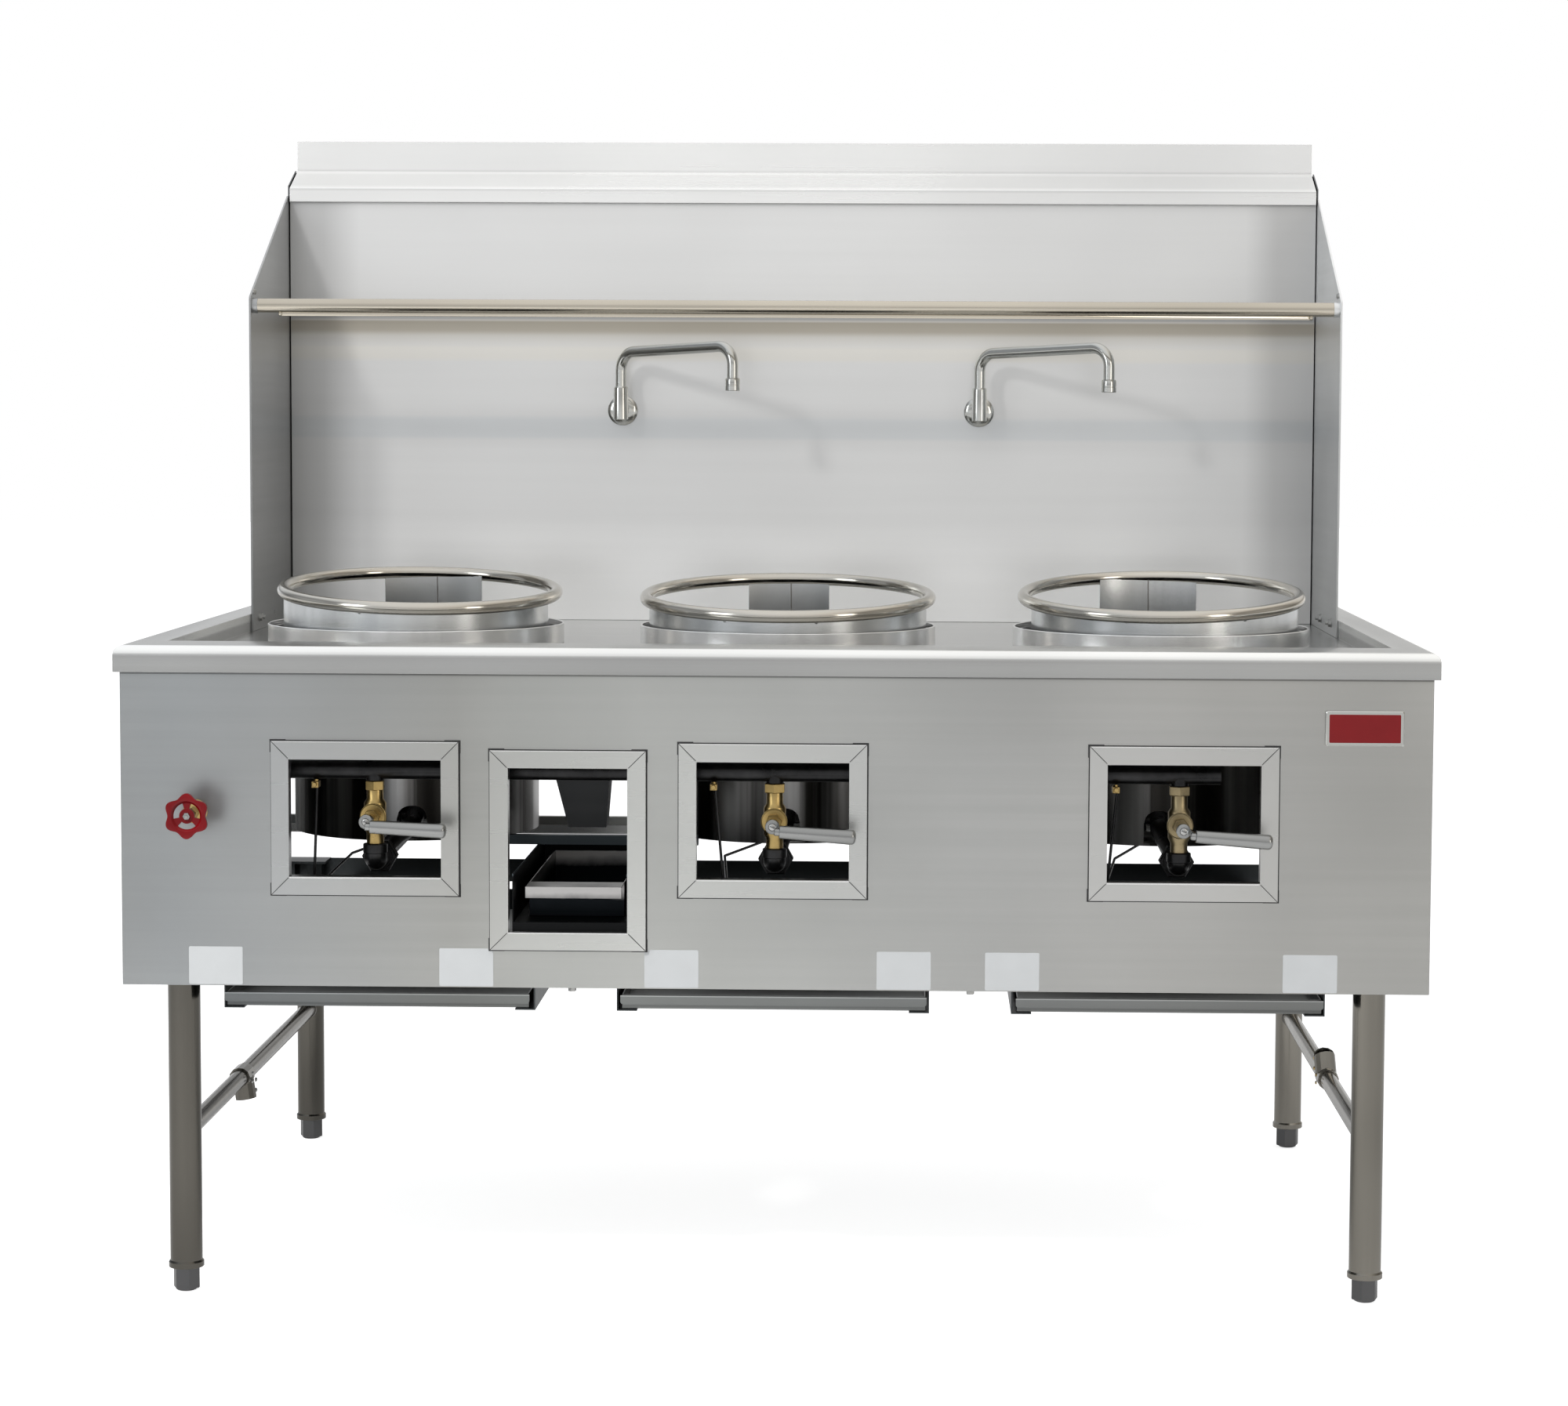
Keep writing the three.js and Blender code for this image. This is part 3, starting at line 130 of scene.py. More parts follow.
# Each burner station. centre: X of the burner; valve_x, valve_z: axis of its lever valve;
# droop: degrees the lever hangs; heel: X of the lever's heel; nut: flats of the top nut;
# arch: X of the chamber's arch; pilot: X of block, tube foot and tube end; ring_d, ring_z,
# ring_x: the hoop's outer diameter, height and X; tilt, roll: its degrees; skirt_d, skirt_x:
# the skirt; tab: X of the rear tab's sides; tacks, seam: X of the welds.
STATIONS = {
    "left": SimpleNamespace(
        centre=-PITCH, valve_x=-561.0, valve_z=674.0, droop=2.9, heel=0.0, nut=24.0,
        arch=18.0, pilot=(-77, -3, -67), ring_d=431.5, ring_z=965.2, ring_x=5.8, tilt=4.5, roll=1.2,
        skirt_d=401.0, skirt_x=0.0, tab=(-76.5, 77.0), tacks=(-57.0, 114.0), seam=4.0),
    "mid": SimpleNamespace(
        centre=0.0, valve_x=-1.0, valve_z=671.0, droop=3.7, heel=0.0, nut=27.0,
        arch=3.0, pilot=(-86, 14, -84), ring_d=449.0, ring_z=957.7, ring_x=0.0, tilt=4.5, roll=0.0,
        skirt_d=421.0, skirt_x=0.0, tab=(-69.5, 58.0), tacks=(-86.0, 49.0), seam=-2.7),
    "right": SimpleNamespace(
        centre=PITCH, valve_x=563.0, valve_z=669.0, droop=4.2, heel=3.0, nut=27.0,
        arch=-12.0, pilot=(-92, -11, -78), ring_d=435.0, ring_z=962.0, ring_x=-5.1, tilt=5.3, roll=-0.45,
        skirt_d=403.0, skirt_x=5.5, tab=(-89.0, 63.5), tacks=(-69.0, 106.0), seam=-11.6),
}
WINDOW_FRAMES = ("window_frame_left", "window_frame_mid", "window_frame_right", "pan_window_frame")


# -------- shapes
ORDER = {"X": [2, 0, 1], "Y": [0, 2, 1], "Z": [0, 1, 2]}  # lays a body made along Z along an axis
NEARLY_STRAIGHT = 1.565  # half the angle at a corner, in radians
TINY = 1e-6


class Shape:
    """Points in millimetres and the faces between them."""

    def __init__(self, points=(), faces=()):
        self.points = np.asarray(points, float).reshape(-1, 3)
        self.faces = list(faces)

    def __add__(self, other):
        n = len(self.points)
        faces = [tuple(i + n for i in f) for f in other.faces]
        return Shape(np.vstack([self.points, other.points]), self.faces + faces)

    def move(self, x=0.0, y=0.0, z=0.0):
        return Shape(self.points + (x, y, z), self.faces)

    def turn(self, axis, degrees):
        m = np.array(Matrix.Rotation(radians(degrees), 3, axis))
        return Shape(self.points @ m.T, self.faces)

    def mirrored(self):
        return Shape(self.points * (-1, 1, 1), self.faces)

    def along(self, axis):
        return Shape(self.points[:, ORDER[axis]], self.faces)


def ring_faces(rows, seg, closed):
    """Quads between rows of seg points; a row of one index is a pole."""
    faces = []
    pairs = list(zip(rows, rows[1:]))
    if closed:
        pairs.append((rows[-1], rows[0]))
    for a, b in pairs:
        for k in range(seg):
            j = (k + 1) % seg
            quad = (a[k % len(a)], a[j % len(a)], b[j % len(b)], b[k % len(b)])
            faces.append(tuple(dict.fromkeys(quad)))
    return [f for f in faces if len(f) > 2]


def circle(seg):
    """Cosine and sine of seg even steps round a circle."""
    return [(cos(2 * pi * k / seg), sin(2 * pi * k / seg)) for k in range(seg)]


def lathe(profile, seg=64, axis="Z"):
    """Turned body of (radius, station); its ends lie on the axis, or the profile closes on itself."""
    rows = []
    points = []
    for r, s in profile:
        first = len(points)
        if r < TINY:
            points.append((0, 0, s))
            rows.append([first])
            continue
        points += [(r * c, r * d, s) for c, d in circle(seg)]
        rows.append(list(range(first, first + seg)))
    closed = profile[0][0] > TINY and profile[-1][0] > TINY
    return Shape(points, ring_faces(rows, seg, closed)).along(axis)


def corner_arc(before, here, after, radius):
    """Centre of the arc that rounds a corner, its start and its end; None where the line is straight."""
    u = before - here
    w = after - here
    reach = min(u.length, w.length) * 0.49
    u.normalize()
    w.normalize()
    half = acos(max(-1, min(1, u.dot(w)))) / 2
    if half > NEARLY_STRAIGHT:
        return None
    cut = min(radius / tan(half), reach)
    centre = here + (u + w).normalized() * (cut * tan(half) / sin(half))
    return centre, here + u * cut - centre, here + w * cut - centre


def rounded(points, seg=5):
    """Outline of (x, y, radius) with its corners turned into arcs."""
    out = []
    n = len(points)
    for i, (x, y, r) in enumerate(points):
        corners = Vector(points[i - 1][:2]), Vector((x, y)), Vector(points[(i + 1) % n][:2])
        centre, start, end = corner_arc(*corners, r)
        first = atan2(start.y, start.x)
        swing = atan2(end.y, end.x) - first
        swing = (swing + pi) % (2 * pi) - pi
        for k in range(seg + 1):
            a = first + swing * k / seg
            out.append((centre.x + r * cos(a), centre.y + r * sin(a)))
    return out


def prism(outline, s0, s1, axis, chamfer):
    """Straight body on an outline, its two end edges chamfered."""
    pts = np.asarray(outline, float)
    mid = (pts.max(0) + pts.min(0)) / 2
    size = (pts.max(0) - pts.min(0)) / 2
    small = mid + (pts - mid) * (1 - chamfer / size)
    levels = [(small, s0), (pts, s0 + chamfer), (pts, s1 - chamfer), (small, s1)]
    n = len(pts)
    points = [(x, y, s) for ring, s in levels for x, y in ring]
    rows = [list(range(i * n, i * n + n)) for i in range(len(levels))]
    faces = ring_faces(rows, n, False) + [tuple(rows[0]), tuple(rows[-1])]
    return Shape(points, faces).along(axis)


def hexagon(flats, turn=0.0):
    r = flats / sqrt(3)
    angles = [radians(60 * k + turn) for k in range(6)]
    return [(r * cos(a), r * sin(a)) for a in angles]


def plate(x0, x1, y0, y1, z0, z1, axis="Y", r=1.0, chamfer=0.2):
    """Thin sheet with rounded corners, lying across one axis."""
    x, y, z = (x0, x1), (y0, y1), (z0, z1)
    (a0, a1), (b0, b1), (s0, s1) = {"X": (y, z, x), "Y": (x, z, y), "Z": (x, y, z)}[axis]
    outline = rounded([(a0, b0, r), (a1, b0, r), (a1, b1, r), (a0, b1, r)], 4)
    return prism(outline, s0, s1, axis, chamfer)


def route(corners, bend, steps=10):
    """Centre line with rounded bends."""
    pts = [Vector(c) for c in corners]
    out = [pts[0]]
    for before, here, after in zip(pts, pts[1:], pts[2:]):
        arc = corner_arc(before, here, after, bend)
        if not arc:
            out.append(here)
            continue
        centre, start, end = arc
        turn = start.rotation_difference(end)
        for k in range(steps + 1):
            out.append(centre + Matrix.Rotation(turn.angle * k / steps, 3, turn.axis) @ start)
    out.append(pts[-1])
    return out


def sweep(points, radius, seg=28):
    """Round rod along a line; radius is one number or one for each point."""
    pts = [Vector(p) for p in points]
    last = len(pts) - 1
    radii = radius if isinstance(radius, list) else [radius] * len(pts)
    tangent = (pts[1] - pts[0]).normalized()
    normal = tangent.orthogonal().normalized()
    rows = []
    out = []
    for i, (p, r) in enumerate(zip(pts, radii)):
        ahead = (pts[i + 1] - p).normalized() if i < last else Vector()
        behind = (p - pts[i - 1]).normalized() if i > 0 else Vector()
        t = (ahead + behind).normalized()
        normal.rotate(tangent.rotation_difference(t))
        normal = (normal - t * normal.dot(t)).normalized()
        tangent = t
        side = t.cross(normal)
        rows.append(list(range(len(out), len(out) + seg)))
        out += [tuple(p + normal * (r * c) + side * (r * s)) for c, s in circle(seg)]
    return Shape(out, ring_faces(rows, seg, False) + [tuple(rows[0]), tuple(rows[-1])])


def columns(cols, outer, inner):
    """Round wall of (angle, low, high) columns, so its edges may rise and fall or step."""
    points = []
    for a, low, high in cols:
        c, s = cos(a), sin(a)
        points += [(r * c, r * s, z) for r, z in ((outer, low), (outer, high), (inner, high), (inner, low))]
    n = len(cols)
    faces = []
    for i in range(n):
        j = (i + 1) % n
        for k in range(4):
            m = (k + 1) % 4
            faces.append((4 * i + k, 4 * j + k, 4 * j + m, 4 * i + m))
    return Shape(points, faces)


def linked(name, data):
    o = bpy.data.objects.new(name, data)
    scene.collection.objects.link(o)
    return o


def smooth_object(name, bm, mat, sharp):
    """A linked object with smooth faces, and sharp edges where faces meet at more than sharp degrees."""
    for f in bm.faces:
        f.smooth = True
    for e in bm.edges:
        if len(e.link_faces) == 2 and e.calc_face_angle(0) > radians(sharp):
            e.smooth = False
    mesh = bpy.data.meshes.new(name)
    bm.to_mesh(mesh)
    bm.free()
    mesh.materials.append(MATS[mat])
    return linked(name, mesh)


def piece(name, shape, mat, body=RANGE, stands_for=None, sharp=38.0):
    """A shape as an object that rides with a body and may stand for a node."""
    bm = bmesh.new()
    verts = [bm.verts.new(place(*p)) for p in shape.points]
    for f in shape.faces:
        bm.faces.new([verts[i] for i in f])
    bmesh.ops.remove_doubles(bm, verts=bm.verts, dist=TINY)
    bmesh.ops.recalc_face_normals(bm, faces=bm.faces)
    o = smooth_object(name, bm, mat, sharp)
    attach(o, body)
    if stands_for:
        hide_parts(stands_for)
    return o


def rounding(o, width, segments):
    """A bevel on an object's sharp edges; width in metres."""
    edge = o.modifiers.new("edge", "BEVEL")
    edge.width = width
    edge.segments = segments
    edge.limit_method = "ANGLE"
    return edge


def softened(node, mat, body=RANGE, width=0.5, sharp=30.0):
    """A node's own form with its sheet edges rounded, standing for the node."""
    bm = bmesh.new()
    bm.from_mesh(NODES[node].data)
    bmesh.ops.remove_doubles(bm, verts=bm.verts, dist=TINY)
    bmesh.ops.dissolve_limit(bm, angle_limit=radians(0.5), verts=bm.verts, edges=bm.edges)
    o = smooth_object(node + "_sheet", bm, mat, sharp)
    edge = rounding(o, width / 1000, 2)
    edge.angle_limit = radians(sharp)
    edge.harden_normals = True
    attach(o, body)
    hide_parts(node)


# -------- shader nodes
class Tree:
    """Short names for the nodes of one material or world."""

    def __init__(self, tree):
        self.tree = tree
        self.tree.nodes.clear()

    def add(self, kind, **settings):
        node = self.tree.nodes.new(kind)
        for name, value in settings.items():
            setattr(node, name, value)
        return node

    def link(self, a, b):
        self.tree.links.new(a, b)

    def put(self, socket, value):
        if isinstance(value, bpy.types.NodeSocket):
            self.link(value, socket)
        else:
            socket.default_value = value

    def fed(self, kind, *values, **settings):
        """A node with its first inputs set or linked in order."""
        node = self.add(kind, **settings)
        for socket, value in zip(node.inputs, values):
            self.put(socket, value)
        return node

    def math(self, op, *values):
        return self.fed("ShaderNodeMath", *values, operation=op).outputs[0]

    def shader(self, kind, *values):
        return self.fed("ShaderNode" + kind, *values).outputs[0]

    def mix(self, factor, a, b, blend="MIX"):
        n = self.add("ShaderNodeMix", data_type="RGBA", blend_type=blend)
        self.put(n.inputs[0], factor)
        self.put(n.inputs[6], a)
        self.put(n.inputs[7], b)
        return n.outputs[2]

    def ramp(self, factor, stops):
        n = self.add("ShaderNodeValToRGB")
        elements = n.color_ramp.elements
        while len(elements) < len(stops):
            elements.new(0.5)
        for element, (position, tone) in zip(elements, stops):
            element.position = position
            element.color = rgb(tone if isinstance(tone, tuple) else (tone,) * 3)
        self.put(n.inputs[0], factor)
        return n.outputs[0]

    def coords(self, scale=(1, 1, 1), offset=(0, 0, 0)):
        source = self.add("ShaderNodeTexCoord")
        mapping = self.add("ShaderNodeMapping")
        mapping.inputs["Scale"].default_value = scale
        mapping.inputs["Location"].default_value = offset
        self.link(source.outputs["Object"], mapping.inputs[0])
        return mapping.outputs[0]

    def axis(self, name):
        split = self.add("ShaderNodeSeparateXYZ")
        self.link(self.coords(), split.inputs[0])
        return split.outputs[name]

    def noise(self, scale=(1, 1, 1), size=1.0, detail=3.0, rough=0.5, offset=(0, 0, 0)):
        n = self.add("ShaderNodeTexNoise")
        n.inputs["Scale"].default_value = size
        n.inputs["Detail"].default_value = detail
        n.inputs["Roughness"].default_value = rough
        self.link(self.coords(scale, offset), n.inputs["Vector"])
        return n.outputs[0]

    def bump(self, height, strength, distance):
        n = self.add("ShaderNodeBump")
        n.inputs["Strength"].default_value = strength
        n.inputs["Distance"].default_value = distance
        self.link(height, n.inputs["Height"])
        return n.outputs[0]


def rgb(tone):
    return (*tone, 1.0)


def scaled(tone, factor):
    return rgb([min(1, c * factor) for c in tone])


class Finish:
    """A material with one Principled shader, and what every finish here sets on it."""

    def __init__(self, metallic=1.0):
        self.mat = bpy.data.materials.new("finish")
        self.mat.use_nodes = True
        self.t = Tree(self.mat.node_tree)
        out = self.t.add("ShaderNodeOutputMaterial")
        self.shader = self.t.add("ShaderNodeBsdfPrincipled")
        self.t.link(self.shader.outputs[0], out.inputs[0])
        self.shader.inputs["Metallic"].default_value = metallic

    def done(self, color, patches, spread, least, normal):
        """Colour, a roughness that follows patches from a least value, and bumps."""
        self.t.link(color, self.shader.inputs["Base Color"])
        self.t.link(self.t.math("MULTIPLY_ADD", patches, spread, least), self.shader.inputs["Roughness"])
        self.t.link(normal, self.shader.inputs["Normal"])
        return self.mat


GRAIN = {"x": (2.5, 420, 420), "y": (420, 2.5, 420), "z": (420, 420, 2.5), "even": (60, 60, 60)}
STREAK = {"x": (1.2, 60, 60), "y": (60, 1.2, 60), "z": (60, 60, 1.2), "even": (9, 9, 9)}
MARKED = 0.80  # tone of handling marks beside the sheet's own
GRAIN_DEPTH, PIT_DEPTH, SKIN_DEPTH = 0.0004, 0.0006, 0.0005  # of the bumps, in metres


def steel(base, rough=0.3, grain="x", cloud=0.06, streak=0.35, spread=0.13, light_bands=(), bump=0.05,
          metallic=1.0):
    """Brushed stainless: fine grain along one axis, slow clouding, handling marks and, with bands of
    (axis, stops), painted light across the sheet: painted reflections, highlights and shade at places in
    metres."""
    finish = Finish(metallic)
    t = finish.t
    fine = t.noise(GRAIN[grain], 1.0, 2.0, 0.6)
    wide = t.noise(STREAK[grain], 1.0, 3.0, 0.55, (3.1, 1.7, 0.4))
    soft = t.noise(size=2.2, detail=2.0, offset=(7.3, 0.2, 5.0))
    clouds = t.ramp(soft, [(0.32, 0.0), (0.68, 1.0)])
    color = t.mix(clouds, scaled(base, 1 - cloud * 2.2), scaled(base, 1 + cloud * 1.3))
    marks = t.math("MULTIPLY", t.ramp(wide, [(0.35, 0.0), (0.7, 1.0)]), streak)
    color = t.mix(marks, color, scaled(base, MARKED))
    # painted light: each band multiplies the colour by tones along one axis
    for axis, stops in light_bands:
        low, span = stops[0][0], stops[-1][0] - stops[0][0]
        along = t.math("MULTIPLY_ADD", t.axis(axis), 1 / span, -low / span)
        painted_tones = t.ramp(along, [((at - low) / span, tone) for at, tone in stops])
        color = t.mix(1.0, color, painted_tones, "MULTIPLY")
    patches = t.math("ADD", wide, soft)
    return finish.done(color, patches, spread / 2, rough - spread / 2, t.bump(fine, bump, GRAIN_DEPTH))


def cast(base, rough, grain, depth, patches, metallic=0.0, wear=None, specular=0.5):
    """Cast, forged or painted skin: pitted, patchy in tone, and worn on its pits where wear is given."""
    finish = Finish(metallic)
    finish.shader.inputs["Specular IOR Level"].default_value = specular
    t = finish.t
    pits = t.noise(size=grain, detail=4.0, rough=0.6)
    patch = t.noise(size=28, offset=(2.0, 4.0, 1.0))
    clouds = t.ramp(patch, [(0.3, 0.0), (0.7, 1.0)])
    color = t.mix(clouds, scaled(base, 1 - patches), scaled(base, 1 + patches))
    if wear:
        color = t.mix(t.ramp(pits, [(0.58, 0.0), (0.72, 0.6)]), color, rgb(wear))
    return finish.done(color, patch, 0.22, rough - 0.11, t.bump(pits, depth, PIT_DEPTH))


def chamber_skin():
    """Rolled black sheet with wide brighter lengths painted up the wall: painted reflections."""
    finish = Finish()
    t = finish.t
    wide = t.noise((13, 13, 0.15), 1.0, 1.0, 0.4, (1.3, 0.4, 0.0))
    fine = t.noise((70, 70, 0.6), 1.0, 2.0, 0.5)
    # painted reflections: brighter vertical lengths up the black wall
    reflection_streaks = t.math("MULTIPLY_ADD", fine, 0.16, t.math("ADD", wide, -0.08))
    color = t.ramp(reflection_streaks, [
        (0.0, (0.020, 0.019, 0.018)), (0.50, (0.035, 0.033, 0.030)), (0.58, (0.30, 0.295, 0.29)),
        (0.70, (0.50, 0.50, 0.50))])
    normal = t.bump(t.noise(size=260), 0.05, SKIN_DEPTH)
    return finish.done(color, wide, 0.15, 0.20, normal)


def shaded_below_lip(base, painted_shade, z_lit, z_dark, rough=0.35):
    """Steel that is bright at its lip and painted near black below it, a painted shade under the lip;
    heights in metres.
    """
    finish = Finish()
    t = finish.t
    patch = t.noise(size=30, detail=4.0, rough=0.6)
    span = z_lit - z_dark
    height = t.math("MULTIPLY_ADD", patch, 0.012, t.axis("Z"))
    # share of the lip's own tone; below it the painted shade
    lit_share = t.math("MULTIPLY_ADD", height, 1 / span, -z_dark / span)
    normal = t.bump(t.noise(size=200), 0.1, SKIN_DEPTH)
    return finish.done(t.ramp(lit_share, [(0.0, painted_shade), (1.0, base)]), patch, 0.2, rough - 0.1, normal)


# -------- painted light across the sheets
# Slow changes of tone, at places in metres along one axis: painted reflections such as brushed sheets show,
# and painted highlight and shadow lines that a folded edge or a rail leaves on the sheet beside it.
SHEET_REFLECTION_BANDS = ("X", [
    (-0.92, (0.76, 0.77, 0.78)), (-0.84, (0.79, 0.81, 0.83)), (-0.70, (0.85, 0.86, 0.87)),
    (-0.44, (0.86, 0.85, 0.82)), (-0.34, (0.98, 0.98, 0.95)), (-0.19, (1.15, 1.15, 1.12)),
    (0.02, (1.06, 1.06, 1.04)), (0.28, (0.98, 0.975, 0.965)), (0.55, (0.99, 0.975, 0.955)),
    (0.76, (0.95, 0.935, 0.91)), (0.92, (0.88, 0.87, 0.85))])
# painted shadow: the front panel darkens in a line just under the rim
RIM_SHADOW_BAND = ("Z", [(0.850, 1.0), (0.870, 0.98), (0.8738, 0.90), (0.8752, 0.45), (0.878, 0.30)])
# painted highlight on the rim's bullnose, with painted shade on its flat top and on its face below
RIM_NOSE_HIGHLIGHT = ("Z", [
    (0.874, 0.66), (0.880, 0.76), (0.8995, 0.82), (0.9020, 1.1), (0.9040, 1.54), (0.9120, 1.58),
    (0.91385, 1.58), (0.91398, 0.90), (0.916, 0.90)])
# painted shade: the back wall darker towards the wings at both ends
WALL_CORNER_SHADE = ("X", [
    (-0.86, 0.58), (-0.83, 0.70), (-0.80, 0.72), (-0.74, 0.98), (0.30, 1.0), (0.62, 0.98),
    (0.74, 0.94), (0.79, 0.70), (0.86, 0.66)])
# painted reflections and shadow on the back wall: lighter low down by the deck, a bluish and a pale stripe,
REFLECTED_BLUE = (0.83, 0.85, 0.865)
# and dark brownish bands under the rail, its painted reflection and shadow
REFLECTED_PALE = (0.95, 0.93, 0.885)
WALL_REFLECTION_BANDS = ("Z", [
    (0.886, 1.26), (0.960, 1.22), (1.06, 0.96), (1.188, 0.90), (1.194, REFLECTED_BLUE), (1.222, REFLECTED_BLUE),
    (1.230, 0.89), (1.318, 0.92), (1.325, REFLECTED_PALE), (1.341, REFLECTED_PALE), (1.347, (0.90, 0.89, 0.87)),
    (1.362, (0.80, 0.78, 0.74)), (1.370, (0.58, 0.54, 0.47)), (1.387, (0.52, 0.48, 0.41)),
    (1.389, 0.92), (1.391, 0.50), (1.397, 0.55), (1.400, 0.95), (1.60, 0.98)])
# painted highlights and dark lines at the cap's folds, and painted tone steps between its faces
CAP_FOLD_HIGHLIGHTS = ("Z", [
    (1.583, 0.72), (1.5845, 1.02), (1.601, 1.0), (1.6045, 0.84), (1.6065, 1.04), (1.612, 0.88),
    (1.632, 0.90), (1.6375, 1.06), (1.6395, 0.80), (1.643, 0.96), (1.70, 0.99)])
# painted light: the right wing lighter than the left, and both lighter towards the top
WING_SIDE_LIGHT = ("X", [(-0.87, 0.90), (0.87, 1.66)])
WING_TOP_LIGHT = ("Z", [(0.90, 1.0), (1.20, 1.0), (1.45, 1.50), (1.60, 1.62)])
# painted highlight along the top of the trays' front lip, with painted shade above and below it
TRAY_LIP_HIGHLIGHT = ("Z", [
    (0.400, 0.55), (0.4080, 0.60), (0.4100, 1.0), (0.4145, 0.62), (0.4158, 0.62), (0.4172, 0.84),
    (0.4292, 0.88), (0.4302, 1.7), (0.4318, 1.7), (0.4330, 0.5), (0.440, 0.4)])
# painted shade: the pan rack near black, with a painted bluish reflection along its top
RACK_REFLECTED_BLUE = (0.8, 0.93, 1.0)
RACK_SHADE_BANDS = ("Z", [
    (0.50, 0.10), (0.5955, 0.10), (0.5965, RACK_REFLECTED_BLUE), (0.612, RACK_REFLECTED_BLUE), (0.6135, 0.25), (0.90, 0.25)])
# painted shade: the legs on the left darker than those on the right
LEG_SIDE_SHADE = ("X", [(-0.86, 0.50), (-0.80, 0.54), (0.80, 0.94), (0.86, 0.92)])

# -------- materials, by their name
MATS = {
    "panel_steel": steel(
        (0.47, 0.475, 0.470), 0.32, cloud=0.05, streak=0.25, light_bands=(SHEET_REFLECTION_BANDS, RIM_SHADOW_BAND)),
    "frame_steel": steel(
        (0.565, 0.57, 0.565), 0.28, cloud=0.03, streak=0.05, light_bands=(SHEET_REFLECTION_BANDS,), bump=0.0),
    "deck_steel": steel((0.62, 0.622, 0.61), 0.24, cloud=0.04, streak=0.15, light_bands=(RIM_NOSE_HIGHLIGHT,)),
    "wall_steel": steel(
        (0.78, 0.78, 0.775), 0.29, cloud=0.02, streak=0.08, spread=0.08,
        light_bands=(WALL_CORNER_SHADE, WALL_REFLECTION_BANDS), bump=0.02, metallic=0.7),
    "cap_steel": steel(
        (0.76, 0.76, 0.755), 0.26, cloud=0.03, streak=0.10, light_bands=(CAP_FOLD_HIGHLIGHTS,), bump=0.02,
        metallic=0.55),
    # bright strips that paint highlight lines
    "flange_steel": steel((0.86, 0.86, 0.85), 0.26, cloud=0.03, streak=0.10, bump=0.02),
    # painted shade: the wings' steel has a much darker base than the same sheet elsewhere
    "wing_steel": steel(
        (0.385, 0.39, 0.39), 0.36, grain="y", cloud=0.07, streak=0.3,
        light_bands=(WING_SIDE_LIGHT, WING_TOP_LIGHT)),
    "riser_dark": steel((0.16, 0.165, 0.17), 0.42, grain="z"),
    "collar_steel": steel(
        (0.88, 0.88, 0.87), 0.20, grain="z", cloud=0.16, streak=1.0, bump=0.01, metallic=0.8),
    "ring_steel": steel((0.62, 0.59, 0.53), 0.15, grain="even", streak=0.25, bump=0.02),
    "skirt_steel": steel((0.78, 0.795, 0.80), 0.24, grain="z", cloud=0.12, streak=0.4, bump=0.0),
    "rail_steel": steel((0.62, 0.57, 0.48), 0.14, cloud=0.05, streak=0.3, bump=0.02),
    "faucet_chrome": steel((0.60, 0.60, 0.57), 0.17, grain="even", cloud=0.05, streak=0.2, bump=0.02),
    "tray_steel": steel((0.25, 0.26, 0.26), light_bands=(SHEET_REFLECTION_BANDS, TRAY_LIP_HIGHLIGHT)),
    # painted shade: near-black steel for the shaded inside of the body
    "inner_steel": steel((0.055, 0.060, 0.062), 0.36),
    # painted shade: dark steel for the shaded pan rack
    "rack_dark": steel((0.15, 0.155, 0.16), 0.45, light_bands=(RACK_SHADE_BANDS,), bump=0.0),
    "lever_alloy": steel((0.37, 0.375, 0.37), 0.22, cloud=0.10, streak=1.0, bump=0.03),
    "leg_steel": steel(
        (0.26, 0.245, 0.215), 0.18, grain="z", cloud=0.14, streak=0.8, light_bands=(LEG_SIDE_SHADE,), bump=0.02),
    "foot_grey": steel((0.12, 0.12, 0.122), 0.40, grain="even", cloud=0.05, streak=0.3),
    # painted shade: the catch pan near black below its lip
    "pan_steel": shaded_below_lip((0.52, 0.51, 0.50), (0.010, 0.012, 0.014), z_lit=0.578, z_dark=0.562),
    "chamber_skin": chamber_skin(),
    "iron": cast((0.028, 0.028, 0.029), 0.30, metallic=0.85, grain=300, depth=0.16, patches=0.45),
    "brass": cast(
        (0.44, 0.315, 0.125), 0.30, 420, 0.14, 0.25, metallic=1.0, wear=(0.30, 0.20, 0.08)),
    "brass_dull": cast(
        (0.36, 0.29, 0.17), 0.38, 420, 0.16, 0.3, metallic=1.0, wear=(0.16, 0.13, 0.09)),
    "zinc": cast((0.42, 0.42, 0.41), 0.30, metallic=1.0, grain=300, depth=0.06, patches=0.15),
    "weld": cast((0.20, 0.19, 0.18), 0.36, metallic=1.0, grain=500, depth=0.3, patches=0.3),
    # dark joints, partly painted shadow of gaps
    "joint_dark": cast((0.030, 0.030, 0.031), 0.6, grain=300, depth=0.1, patches=0.3),
    "sticker_white": cast((0.50, 0.515, 0.525), 0.46, grain=120, depth=0.02, patches=0.02),
    "wheel_red": cast((0.135, 0.001, 0.003), 0.16, grain=700, depth=0.1, patches=0.15, specular=0.26),
    "badge_red": cast((0.165, 0.004, 0.006), 0.40, grain=500, depth=0.03, patches=0.05, specular=0.3),
}
SLOT_OF = {s["node"]: s["material_slot"] for s in frame["record"]["subparts"]}
for name, mat in MATS.items():
    mat.name = name
for name, node in NODES.items():
    mat = MATS[SLOT_OF[name]]
    if not node.material_slots:
        node.data.materials.append(mat)
    for s in node.material_slots:
        s.material = mat


